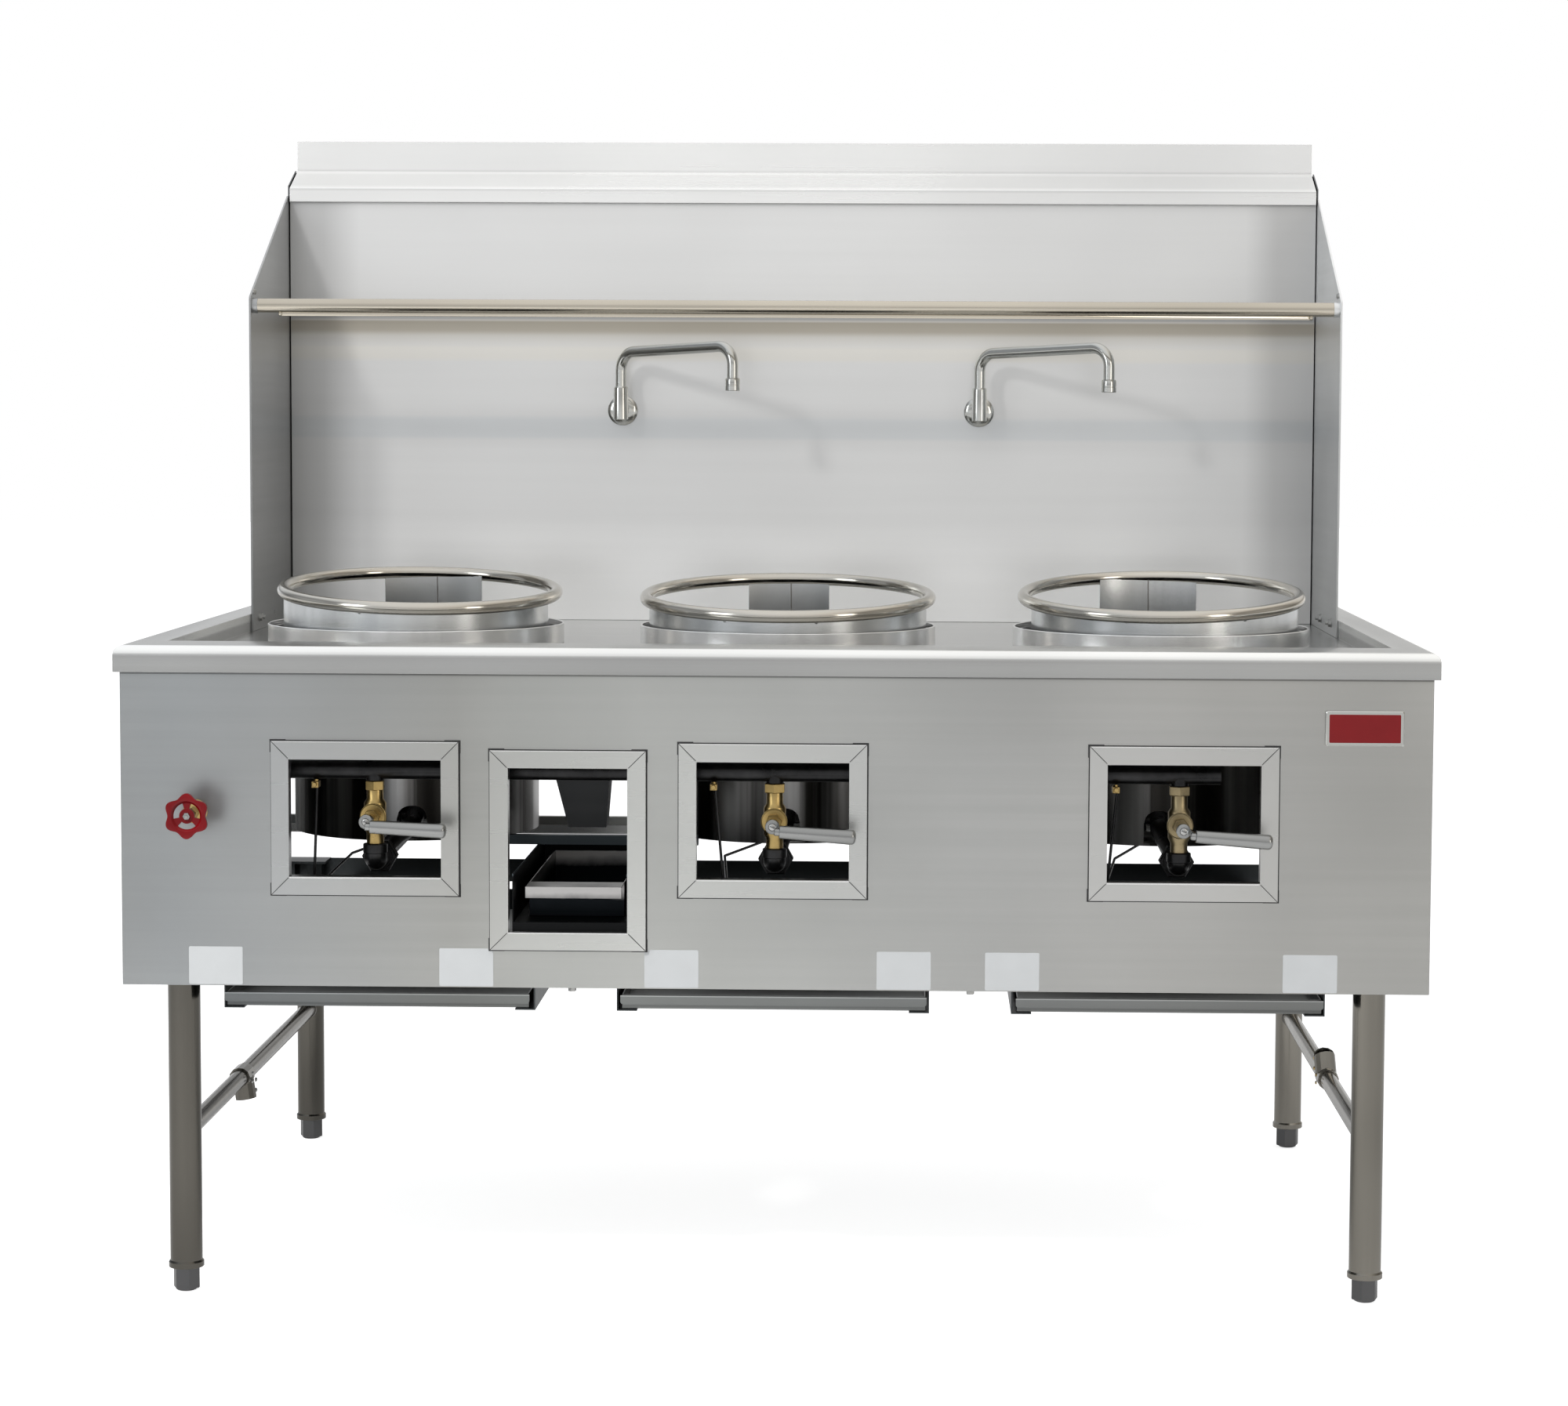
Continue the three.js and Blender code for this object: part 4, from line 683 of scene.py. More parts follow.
# -------- sheet pieces with rounded edges
def sheets():
    for node in ("deck", "front_panel", "riser_cap", "backsplash", "wing_left", "wing_right"):
        softened(node, SLOT_OF[node], width=0.6 if node != "riser_cap" else 0.8)
    for node in WINDOW_FRAMES:
        softened(node, SLOT_OF[node], width=0.8)
    for tag in STATIONS:
        softened(f"tray_{tag}", "tray_steel", f"tray_{tag}", 0.4)
    softened("catch_pan", "pan_steel", "catch_pan", 0.4)


# -------- burner stations
def hoop_height(s, x, y):
    """Height of the tilted hoop's plane above a place measured from the hoop's centre."""
    m = Matrix.Rotation(radians(s.roll), 3, "Y") @ Matrix.Rotation(radians(s.tilt), 3, "X")
    n = m @ Vector((0, 0, 1))
    return s.ring_z - (n.x * x + n.y * y) / n.z


def wok_hoop(body, s):
    major = s.ring_d / 2 - RING_R
    loop = [(major + RING_R * c, RING_R * d) for c, d in circle(24)]
    hoop = lathe(loop, 144).turn("X", s.tilt).turn("Y", s.roll)
    hoop = hoop.move(s.centre + s.skirt_x + s.ring_x, BURNER_Y, s.ring_z)
    piece(body + "_hoop", hoop, "ring_steel", body, body)


def wok_skirt(body, s, outer):
    """Wall under the hoop, cut low behind except for a tab."""
    tab = [acos(t / outer) for t in (s.tab[1], s.tab[0])]
    angles = sorted([2 * pi * k / 144 for k in range(144)] + tab * 2 + [0.0, pi])
    steps = (*tab, 0.0, pi)  # where two columns stand, one low and one high
    cols = []
    seen = {}
    for a in angles:
        top = hoop_height(s, outer * cos(a) - s.ring_x, outer * sin(a)) - 1
        if a in steps:
            seen[a] = seen.get(a, 0) + 1
            rises = a in (tab[0], pi)
            low_first = seen[a] == (1 if rises else 2)
            cols.append((a, ON_DECK, SKIRT_CUT_Z if low_first else top))
        elif 0 < a < pi and not tab[0] < a < tab[1]:
            cols.append((a, ON_DECK, SKIRT_CUT_Z))
        else:
            cols.append((a, ON_DECK, top))
    wall = columns(cols, outer, outer - SHEET).move(s.centre + s.skirt_x, BURNER_Y)
    piece(body + "_skirt", wall, "skirt_steel", body, body, 50)


def wok_welds(body, s, outer):
    """Tacks under the hoop at the front, and the skirt's seam behind."""
    blob = [(0, -3.2), (2.2, -2.4), (3.4, 0), (2.4, 2.4), (0, 3.2)]
    welds = Shape()
    for x in s.tacks:
        y = -sqrt(outer ** 2 - x ** 2)
        z = hoop_height(s, x - s.ring_x, y) - RING_R + 1.2
        welds = welds + lathe(blob, 16, "X").move(x, y - 0.5, z)
    x = s.seam
    y = sqrt((outer - SHEET) ** 2 - x ** 2)
    top = hoop_height(s, x - s.ring_x, y) - 2
    welds = welds + sweep([(x, y, ON_DECK + 3), (x + 0.4, y, (ON_DECK + top) / 2), (x, y, top)], 0.9, 8)
    piece(body + "_welds", welds.move(s.centre + s.skirt_x, BURNER_Y), "weld", body)


def wok_ring(tag, s):
    body = f"wok_ring_{tag}"
    outer = s.skirt_d / 2
    wok_hoop(body, s)
    wok_skirt(body, s, outer)
    wok_welds(body, s, outer)


def collar(tag, s):
    node = f"collar_{tag}"
    low, top = ON_DECK, ON_DECK + COLLAR_H
    wall = [
        (LINER_R - 2.5, low), (COLLAR_R - 0.6, low), (COLLAR_R, low + 0.6), (COLLAR_R, top - 0.8),
        (COLLAR_R - 0.8, top), (COLLAR_R - 2.2, top), (COLLAR_R - 3, top - 0.8), (COLLAR_R - 3, low + 2.5),
        (LINER_R, low + 2.5), (LINER_R, top - 6), (LINER_R - 2.5, top - 6)]
    piece(node + "_round", lathe(wall, 144).move(s.centre, BURNER_Y), "collar_steel", RANGE, node)


def chamber(tag, s):
    node = f"chamber_{tag}"
    top = UNDER_DECK - GAP
    base = CHAMBER_FLOOR + SHEET
    mouth = -pi / 2
    half = ARCH_W / 2
    start, end = [mouth + (s.arch + d) / CHAMBER_R for d in (-half, half)]
    cols = [(end + (2 * pi - (end - start)) * k / 144, base - 4, top) for k in range(145)]
    for k in range(17):
        d = -half + ARCH_W * k / 16
        past = max(0.0, abs(d) - (half - ARCH_R))
        low = ARCH_TOP - ARCH_R + sqrt(max(0.0, ARCH_R ** 2 - past ** 2))
        cols.append((mouth + (s.arch + d) / CHAMBER_R, low, top))
    wall = columns(cols, CHAMBER_R, CHAMBER_R - SHEET)
    edge = CHAMBER_R - 1
    floor = lathe([(edge, CHAMBER_FLOOR), (edge, base), (46, base), (46, CHAMBER_FLOOR)], 96)
    inner = CHAMBER_R - SHEET
    sill = lathe([(CHAMBER_R, base - 4), (CHAMBER_R, base), (inner, base), (inner, base - 4)], 96)
    shape = (wall + floor + sill).move(s.centre, BURNER_Y)
    piece(node + "_round", shape, "chamber_skin", RANGE, node, 50)


def valve(tag, s):
    node = f"valve_{tag}"
    z = s.valve_z
    y = GAS_Y
    top = TOP_PORT - GAP
    upright = lathe([
        (0, z - 50), (8, z - 50), (8, z - 40), (11.4, z - 40), (12, z - 39.4), (12, z - 26),
        (15.5, z - 19.5), (15.5, z + 16.5), (14.8, z + 18.6), (11.5, z + 23), (11.5, top - 6), (8, top - 6),
        (8, top + 8), (0, top + 8)], 48).move(0, y)
    cap = prism(hexagon(s.nut, 30), top - 13, top, "Z", 0.9).move(0, y)
    bonnet = lathe([
        (0, y - 4), (13, y - 4), (17.1, y - 12.2), (17.5, y - 13.2), (17.5, y - 23.2), (16.8, y - 24),
        (8, y - 24), (8, y - 39), (5, y - 39), (5, STEM_Y + 3.1), (4.4, STEM_Y + 2.5),
        (0, STEM_Y + 2.5)], 48, "Y")
    rib = lathe([(17.5, -22), (18.3, -21.4), (18.3, -19), (17.5, -18.4)], 48, "Y").move(0, y)
    gland = prism(hexagon(20, 10), y - 36, y - 23, "Y", 0.8)
    shape = upright + cap + (bonnet + rib + gland).move(0, 0, z)
    finish = "brass_dull" if tag == "right" else "brass"
    piece(node + "_turned", shape.move(s.valve_x), finish, RANGE, node)


def lever(tag, s):
    body = f"lever_{tag}"
    droop = radians(s.droop)
    along = Vector((cos(droop), 0, -sin(droop)))
    heel = Vector((11 + s.heel, LEVER_Y, -2.5))
    y, end = STEM_Y, LEVER_L
    eye = lathe([(5.3, y), (9.2, y), (10, y + 0.9), (10, y + 11.2), (9.3, y + 12), (5.3, y + 12)], 40, "Y")
    line = [(3, y + 5, -0.5), (10.5, y + 1, -1.5), heel + Vector((1, 8, 0)), heel + along * 12]
    arm = sweep(route(line, 10, 6), 4.5, 20)
    grip = lathe([
        (0, 0), (7.6, 0), (8.8, 0.7), (9.0, 2), (9.2, 12), (10.5, end - 9), (10.45, end - 6),
        (9.9, end - 4), (8.6, end - 2.2), (6.2, end - 0.9), (3.2, end - 0.3), (0, end)], 56, "X")
    grip = grip.turn("Y", s.droop).move(*heel)
    lug = lathe([(0, -1), (4.2, -1), (5.2, 0), (5.2, 9), (4.4, 10), (0, 10)], 24, "X")
    lug = lug.turn("Y", s.droop).move(heel.x - 6, heel.y, heel.z)
    head = [(0, y - 1.8), (2.8, y - 1.6), (4.6, y - 0.6), (4.9, y + 0.4), (4.9, y + 2.6), (0, y + 2.6)]
    screw = lathe(head, 32, "Y")
    slot = plate(-3.4, 3.4, y - 1.95, y - 1.5, -0.4, 0.4, "Y", 0.3, 0.05).turn("Y", 25)
    at = (s.valve_x, 0, s.valve_z)
    piece(body + "_turned", (eye + arm + grip + lug).move(*at), "lever_alloy", body, body)
    piece(body + "_screw", screw.move(*at), "zinc", body)
    piece(body + "_slot", slot.move(*at), "iron", body)


def burner(tag, s):
    """Elbow, union and pipe from the valve, through the arch, up to the jet head on its three feet."""
    node = f"burner_{tag}"
    z = s.valve_z - 40 - GAP
    x, centre = s.valve_x, s.centre
    f = CHAMBER_FLOOR
    low = f + 24
    line = route([
        (x, GAS_Y, z - 6), (x, GAS_Y, PIPE_Z), (x, GAS_Y + 62, PIPE_Z),
        (centre + s.arch, BURNER_Y - CHAMBER_R - 6, low), (centre, BURNER_Y, low),
        (centre, BURNER_Y, f + 60)], 22, 8)
    radii = [15.5 if p.y < GAS_Y + 46 else PIPE_R for p in line]
    bead = lathe([(0, z - 13), (16.2, z - 13), (17, z - 12.2), (17, z - 0.8), (16.2, z), (0, z)], 40)
    union = prism(hexagon(43), GAS_Y + 34, GAS_Y + 56, "Y", 1.4).move(x, 0, PIPE_Z)
    elbow_rim = lathe([(0, 31), (18.2, 31), (19, 31.8), (19, 34), (0, 34)], 40, "Y").move(x, GAS_Y, PIPE_Z)
    head = lathe([
        (0, f + 52), (33, f + 52), (34, f + 53), (34, f + 85), (32.6, f + 86.2), (10, f + 90),
        (0, f + 82)], 64)
    shape = sweep(line, radii, 32) + bead.move(x, GAS_Y) + union + elbow_rim + head.move(centre, BURNER_Y)
    arm = plate(28, 62, -5, 5, f + 52, f + 57, "Z", 1.2, 0.3)
    foot = arm + plate(57, 62, -5, 5, f + 2.3, f + 57, "X", 1.0, 0.3)
    for k in range(3):
        shape = shape + foot.turn("Z", 30 + 120 * k).move(centre, BURNER_Y)
    piece(node + "_pipe", shape, "iron", RANGE, node)


def pilot(tag, s):
    node = f"pilot_{tag}"
    block_x, foot, end = s.pilot
    centre = s.centre
    x = centre + block_x
    y = GAS_Y
    z = MANIFOLD_Z - 20
    under = MANIFOLD_Z - MANIFOLD_R - GAP
    nipple = lathe([(0, z), (4, z), (4, under - 2), (3.4, under - 0.2), (0, under - 0.2)], 24)
    left, right, front, back, r = x - 5, x + 5, y - 16, y + 3, 0.8
    outline = rounded([(left, front, r), (right, front, r), (right, back, r), (left, back, r)], 3)
    block = prism(outline, z - 5, z + 4, "Z", 0.5)
    screw = lathe([(0, y - 22), (2.9, y - 22), (3.4, y - 21.4), (3.4, y - 10), (0, y - 10)], 24, "Y")
    shape = nipple.move(x, y - 3) + block + screw.move(x, 0, z)
    piece(node + "_block", shape, "brass", RANGE, node)
    jet = (centre - 22, BURNER_Y - 30)
    line = route([
        (x + 2, y - 7, z), (x + foot, y - 7, 579), (x + foot + 1, 118, 571), (centre + end, 300, 588),
        (*jet, 592), (*jet, CHAMBER_FLOOR + 74)], 12, 5)
    piece(node + "_tube", sweep(line, TUBE_R, 14), "iron", RANGE, node)


def manifold():
    turn = WHEEL[0] + 12
    run = [
        (STATIONS["right"].valve_x + 57, GAS_Y, MANIFOLD_Z), (turn, GAS_Y, MANIFOLD_Z),
        (turn, MANIFOLD_END, MANIFOLD_Z)]
    shape = sweep(route(run, 34, 10), MANIFOLD_R, 40)
    seat = MANIFOLD_Z - 4
    port = lathe([(0, TOP_PORT), (11.9, TOP_PORT), (12.5, TOP_PORT + 0.6), (12.5, seat), (0, seat)], 36)
    for s in STATIONS.values():
        shape = shape + port.move(s.valve_x, GAS_Y)
    piece("manifold_pipe", shape, "iron", RANGE, "manifold")


# -------- faucets, rail
def faucet_base(tag, x):
    node = f"faucet_base_{tag}"
    low = FAUCET_Z - 15
    y = WALL_Y
    disc = lathe([
        (0, y - 6.4), (14, y - 6.2), (19, y - 4.6), (24.4, y - 2.2), (25, y - 1.4), (25, y - GAP),
        (12, y - GAP), (12, y + 22), (0, y + 22)], 56, "Y")
    arm = lathe([(0, FAUCET_Y), (11, FAUCET_Y), (11, y - 3), (0, y - 3)], 40, "Y")
    stand = lathe([
        (0, low), (11.6, low), (12.3, low + 0.8), (12.3, low + 2), (11.8, low + 52), (11.5, low + 53.6),
        (10.6, low + 55), (9.6, low + 55), (9.6, low + 40), (0, low + 40)], 48)
    shape = (disc + arm).move(0, 0, FAUCET_Z) + stand.move(0, FAUCET_Y, 0)
    piece(node + "_turned", shape.move(x), "faucet_chrome", RANGE, node)


def spout(tag, x, reach, swing):
    body = f"spout_{tag}"
    a = radians(swing)
    aim = Vector((sin(a), -cos(a), 0))

    def at(d, z):
        p = Vector((x, FAUCET_Y, 0)) + aim * d
        return (p.x, p.y, z)

    low, high = FAUCET_Z + 33, FAUCET_Z + 54
    line = route([at(0, FAUCET_Z + 25.3), at(0, SPOUT_Z), at(reach, SPOUT_Z + 10), at(reach, low)], 30, 14)
    nozzle = lathe([
        (8.5, low + 8), (8.5, low), (11.2, low), (12, low + 0.9), (12, low + 8), (11.4, low + 8.6),
        (11.4, low + 9.8), (12, low + 10.4), (12, high - 3), (11, high - 0.6), (9, high), (8.5, high)], 48)
    screen = lathe([(0, low + 8), (8.5, low + 8), (8.5, low + 9), (0, low + 9)], 32)
    tip = at(reach, 0)
    piece(body + "_bent", sweep(line, SPOUT_R, 36) + nozzle.move(*tip), "faucet_chrome", body, body)
    piece(body + "_screen", screen.move(*tip), "iron", body)


def rail():
    """The rail tube, a flat strip under it and a pin at each end of the strip."""
    end = WING_IN - 4
    strip_end = WING_IN - 44
    tube = lathe([(0, -end), (RAIL_R, -end), (RAIL_R, end), (0, end)], 48, "X")
    shape = tube + plate(-strip_end, strip_end, -1, 1, -RAIL_R - 5, 0.8 - RAIL_R, "Y", 0.8, 0.2)
    pin = lathe([(0, -2.5), (3.4, -2.5), (4, -1.9), (4, 1.9), (3.4, 2.5), (0, 2.5)], 20, "X")
    for side in (-1, 1):
        shape = shape + pin.move(side * strip_end, 0, -RAIL_R - 1.5)
    piece("rail_tube_round", shape.move(0, RAIL_Y, RAIL_Z), "rail_steel", RANGE, "rail_tube")


# -------- water valve and handwheel
def water_valve():
    x, y, z = WHEEL
    f = PANEL_Y
    turned = lathe([
        (0, y + 4.3), (3.5, y + 4.3), (3.5, y + 26), (8, y + 28), (8, f - 14), (12, f - 12), (12, f - 4),
        (16.4, f - 3.2), (17, f - 2.6), (17, f - GAP), (11, f - GAP), (11, f + 22), (18, f + 30),
        (15, f + 46), (0, f + 48)], 48, "Y")
    gland = prism(hexagon(17, 15), y + 24, y + 38, "Y", 0.8)
    lock_nut = prism(hexagon(30, 15), f + 2.3, f + 8, "Y", 0.8)
    low, top = z - 36, z + 36
    upright = lathe([(0, low), (10, low), (10.5, low + 0.6), (10.5, top - 0.6), (10, top), (0, top)], 32)
    shape = (turned + gland + lock_nut).move(x, 0, z) + upright.move(x, f + 34)
    piece("water_valve_turned", shape, "brass", RANGE, "water_valve")


# the wheel's rings from the hub out: radius and depth; the last one is the lobed rim
HUB_ROWS = [(9.0, 3.4), (10.5, 3.4), (18.0, 3.4), (19.0, 2.4), (21.0, 0.3), (23.0, 0.0)]
OPENING_ROW = 1
OPENINGS = (30, 150, 270)
OPENING_HALF = 41
LOBES = 6


def opens(degrees):
    """True inside one of the wheel's openings."""
    return min(abs((degrees - middle + 180) % 360 - 180) for middle in OPENINGS) < OPENING_HALF


def handwheel():
    """Lobed wheel, dished, with three openings; its boss and its nut."""
    x, y, z = WHEEL
    n = 216
    turns = circle(n)
    rims = [28.75 + 2.75 * cos(LOBES * (2 * pi * k / n - radians(30))) for k in range(n)]
    points = [(r * c, y + depth, r * s) for r, depth in HUB_ROWS for c, s in turns]
    points += [(rim * c, y, rim * s) for rim, (c, s) in zip(rims, turns)]
    faces = []
    for row in range(len(HUB_ROWS)):
        for k in range(n):
            j = (k + 1) % n
            if row != OPENING_ROW or not opens(360 * (k + 0.5) / n):
                faces.append((row * n + k, row * n + j, row * n + n + j, row * n + n + k))
    faces.append(tuple(range(n)))
    wheel = Shape(points, faces).move(x, 0, z)
    wheel = piece("handwheel_cast", wheel, "wheel_red", "handwheel", "handwheel")
    thick = wheel.modifiers.new("thick", "SOLIDIFY")
    thick.thickness = 0.0062
    thick.offset = -1 if wheel.data.polygons[0].normal.y < 0 else 1
    rounding(wheel, 0.0011, 3)
    boss = lathe([(3.8, y + 3), (8.4, y + 3), (9, y + 3.6), (9, y + 13), (3.8, y + 13)], 32, "Y")
    stud = lathe([(0, y - 2.2), (2.2, y - 2), (2.6, y - 1.2), (2.6, y + 1), (0, y + 1)], 20, "Y")
    nut = prism(hexagon(9), y - 1, y + 4, "Y", 0.6) + stud
    piece("handwheel_boss", boss.move(x, 0, z), "wheel_red", "handwheel")
    piece("handwheel_nut", nut.move(x, 0, z), "zinc", "handwheel")


# -------- legs, braces
def leg(end, side, sign):
    x, y = sign * LEG_X, LEG_Y[end]
    r, low, bore = LEG_R, FOOT_H, 6.3
    wall = [
        (bore, low), (24.2, low), (24.7, low + 0.6), (24.7, low + 7.4), (24.2, low + 8), (r, low + 10),
        (r, LEG_TOP), (r - TUBE_WALL, LEG_TOP), (r - TUBE_WALL, low + 24), (bore, low + 24)]
    node = f"leg_{end}_{side}"
    piece(node + "_tube", lathe(wall, 72).move(x, y), "leg_steel", RANGE, node)
    foot = f"foot_{end}_{side}"
    flats = prism(hexagon(33), 2.5, low - GAP, "Z", 1.4)
    pad = lathe([(0, 0), (12.5, 0), (14.4, 1), (15.2, 2.8), (0, 3.4)], 48)
    stem = lathe([(0, low - 2), (6, low - 2), (6, low + 39), (5.4, low + 40), (0, low + 40)], 32)
    shape = (flats + pad + stem).turn("Z", 12 if sign > 0 else -8).move(x, y)
    piece(foot + "_hex", shape, "foot_grey", foot, foot)


def brace(side, sign):
    node = f"brace_{side}"
    front, rear = LEG_Y["front"] + LEG_R, LEG_Y["rear"] - LEG_R
    ends = front - 1.5, rear + 1.5
    r, inner = BRACE_R, BRACE_R - TUBE_WALL
    tube = lathe([(r, ends[0]), (r, ends[1]), (inner, ends[1]), (inner, ends[0])], 56, "Y")
    beads = Shape()
    for y, way in ((front, 1), (rear, -1)):
        bead = [(r - 0.5, y - 1.2), (r + 1.4, y + 0.4 * way), (r - 0.5, y + 2.0 * way)]
        beads = beads + lathe(bead, 48, "Y")
    piece(node + "_tube", tube.move(sign * LEG_X, 0, BRACE_Z), "leg_steel", RANGE, node)
    piece(node + "_welds", beads.move(sign * LEG_X, 0, BRACE_Z), "weld")


# -------- plates, stickers, small fixings
FLAT = 8  # degrees; keeps the chamfers of flat plates apart from their faces


def on_face(x0, x1, z0, z1, y, lift=0.1, sink=0.3, r=0.3, chamfer=0.05):
    """A thin strip on a face that looks forward at depth y."""
    return plate(x0, x1, y - lift, y + sink, z0, z1, "Y", r, chamfer)


def frame_joints_and_shadows(node, x0, x1, z0, z1):
    """Dark joints round one window frame, across its mitred corners and at its corner tabs; the outline and
    the tabs are partly painted shadow of the gap round the frame.
    """
    shape = Shape()
    # the outline: partly a dark joint, partly painted shadow of the gap
    sides = (
        (x0 - 1.6, x1 + 1.8, z0 - 2.0, z0 - 0.05), (x0 - 1.2, x1 + 1.8, z1 + 0.05, z1 + 1.1),
        (x0 - 1.4, x0 - 0.05, z0, z1), (x1 + 0.05, x1 + 2.0, z0, z1))
    for side in sides:
        shape = shape + on_face(*side, PANEL_Y, 0.5, -0.05, 0.2)
    mitre = on_face(0.5, (FRAME_W + 0.5) * sqrt(2) - 1.0, -0.45, 0.45, FRAME_Y, 0.12, r=0.2)
    for x, z, turn in ((x0, z0, -45), (x1, z0, -135), (x1, z1, 135), (x0, z1, 45)):
        shape = shape + mitre.turn("Y", turn).move(x, 0, z)
    # corner tabs: dark plates, partly painted shadow
    for x, z, a, b in ((x0, z0, 1, -1), (x1, z0, -1, -1), (x1, z1, -1, 1), (x0, z1, 1, 1)):
        flat = (*sorted((x - a * 2.4, x + a * 20)), *sorted((z + b * 0.2, z + b * 2.2)))
        tall = (*sorted((x - a * 0.2, x - a * 2.4)), *sorted((z - b * 16, z + b * 1.0)))
        for tab in (flat, tall):
            shape = shape + on_face(*tab, PANEL_Y, 0.9, -0.06, 0.3, 0.1)
    piece(node + "_joints_and_shadows", shape, "joint_dark", sharp=FLAT)


def frame_highlights(node, x0, x1, z0, z1):
    """Painted highlights on one window frame: bright strips inside its sill and along its top."""
    # painted highlight lines, laid on as thin bright strips
    sill = on_face(x0 + 25, x1 - 25, z0 + 23.2, z0 + 24.6, FRAME_Y)
    top = on_face(x0 + 1, x1 - 1, z1 - 1.3, z1 - 0.3, FRAME_Y)
    piece(node + "_highlights", sill + top, "flange_steel", sharp=FLAT)


def window_joints_and_shadows():
    for node in WINDOW_FRAMES:
        low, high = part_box(node)
        box = (low[0] * 1000, high[0] * 1000, low[2] * 1000, high[2] * 1000)
        frame_joints_and_shadows(node, *box)
        frame_highlights(node, *box)


STICKERS = (-813, -464, -179, 143, 293, 704)
STICKER_W = 75
STICKER_LOW, STICKER_HIGH = 442, 495
BADGE_X = (758, 866)
BADGE_Z = (785, 834)
BADGE_RIM = 5


def front_plates():
    """Blank stickers, and a bare plate with a plain red field."""
    y = PANEL_Y
    for i, x in enumerate(STICKERS):
        label = plate(x, x + STICKER_W, y - 0.35, y - 0.05, STICKER_LOW, STICKER_HIGH, "Y", 2.0, 0.08)
        piece(f"sticker_{i}", label, "sticker_white", sharp=FLAT)
    (x0, x1), (z0, z1) = BADGE_X, BADGE_Z
    outer = rounded([(x0, z0, 3), (x1, z0, 3), (x1, z1, 3), (x0, z1, 3)], 5)
    piece("badge_rim", prism(outer, y - 3.2, y - 0.05, "Y", 1.3), "faucet_chrome", sharp=FLAT)
    e = BADGE_RIM
    field = plate(x0 + e, x1 - e, y - 3.5, y - 2.8, z0 + e, z1 - e, "Y", 1.5, 0.15)
    piece("badge_field", field, "badge_red", sharp=FLAT)


RAIL_BACK = 1121.6  # Y of the rear rail's outer face
RACK_BACK = 416.6  # Y of the pan rack's back


def inner_plates():
    """A thin bright strip on the rear rail, a painted highlight line, and the dark plate that closes the
    pan rack's back, in painted shade.
    """
    end = BODY_X - 6
    # painted highlight: a thin bright strip along the rear rail
    strip = plate(-end, end, RAIL_BACK, RAIL_BACK + 1.2, 516.5, 530.5, "Y", 0.5, 0.2)
    piece("rear_rail_highlight", strip, "flange_steel", sharp=FLAT)
    # painted shade: the rack's back plate is near black
    middle = -PITCH / 2
    back = plate(middle - 80, middle + 80, RACK_BACK, RACK_BACK + 1.6, 566, 600, "Y", 1.0, 0.2)
    piece("pan_rack_back", back, "rack_dark", sharp=FLAT)


def screw_head(r, h):
    """Pan head on +X, its seat at the origin."""
    dome = [(0, h), (r * 0.45, h * 0.98), (r * 0.8, h * 0.78), (r * 0.97, h * 0.35), (r, 0), (0, 0)]
    return lathe(dome, 28, "X")


# places of the small fixings: X under the body's front, else Y and Z on a wing or a clamp
BODY_SCREWS = (-280.0, 273.0)
LEFT_WING_BOLT = (770, 906)
RIGHT_WING_BOLTS = ((776, 906), (914, 905))
WING_SCREWS = ((738, 1424), (752, 1424))
CLAMP_NUTS = ((440, 231), (440, 219), (466, 216), (466, 200))
CLAMP_SCREWS = ((500, 231), (500, 219), (527, 236), (527, 252))
CLAMP_SUNK = 2.2  # how far the clamps' seats lie inside their boxes


def fixing_row(name, shape, x, places, mat="zinc"):
    for i, (y, z) in enumerate(places):
        piece(f"{name}_{i}", shape.move(x, y, z), mat)


def fixings():
    for i, x in enumerate(BODY_SCREWS):
        head = prism(hexagon(10, 20), BODY_LOW - 5.2, BODY_LOW - 0.1, "Z", 0.7)
        piece(f"body_screw_{i}", head.move(x, 12), "zinc")
    washer = lathe([(0, 0), (7.4, 0), (7.4, 1.2), (0, 1.2)], 32, "X")
    stud = lathe([(0, 0), (3.0, 0), (3.0, 9.4), (2.4, 10), (0, 10)], 24, "X")
    bolt = prism(hexagon(11, 15), 0.1, 5.4, "X", 0.7) + washer + stud
    piece("wing_left_bolt", bolt.move(-WING_IN, *LEFT_WING_BOLT), "zinc")
    fixing_row("wing_right_bolt", bolt.mirrored(), WING_IN, RIGHT_WING_BOLTS)
    head = screw_head(4.6, 2.6)
    fixing_row("wing_left_screw", head, -WING_IN, WING_SCREWS)
    fixing_row("wing_right_screw", head.mirrored(), WING_IN, WING_SCREWS)
    head = screw_head(2.8, 2.4)
    nut = head + prism(hexagon(6), -1, 0.9, "X", 0.3)
    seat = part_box("tee_clamp_left")[1][0] * 1000 - CLAMP_SUNK
    fixing_row("clamp_left_nut", nut, seat, CLAMP_NUTS)
    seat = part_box("tee_clamp_right")[0][0] * 1000 + CLAMP_SUNK
    fixing_row("clamp_right_screw", head.mirrored(), seat, CLAMP_SCREWS, "brass")


sheets()
for tag, s in STATIONS.items():
    for build in (wok_ring, collar, chamber, valve, lever, burner, pilot):
        build(tag, s)
manifold()
for tag, (sign, reach, swing) in SPOUTS.items():
    faucet_base(tag, sign * FAUCET_X)
    spout(tag, sign * FAUCET_X, reach, swing)
rail()
water_valve()
handwheel()
for side, sign in (("left", -1), ("right", 1)):
    leg("front", side, sign)
    leg("rear", side, sign)
    brace(side, sign)
front_plates()
window_joints_and_shadows()
inner_plates()
fixings()

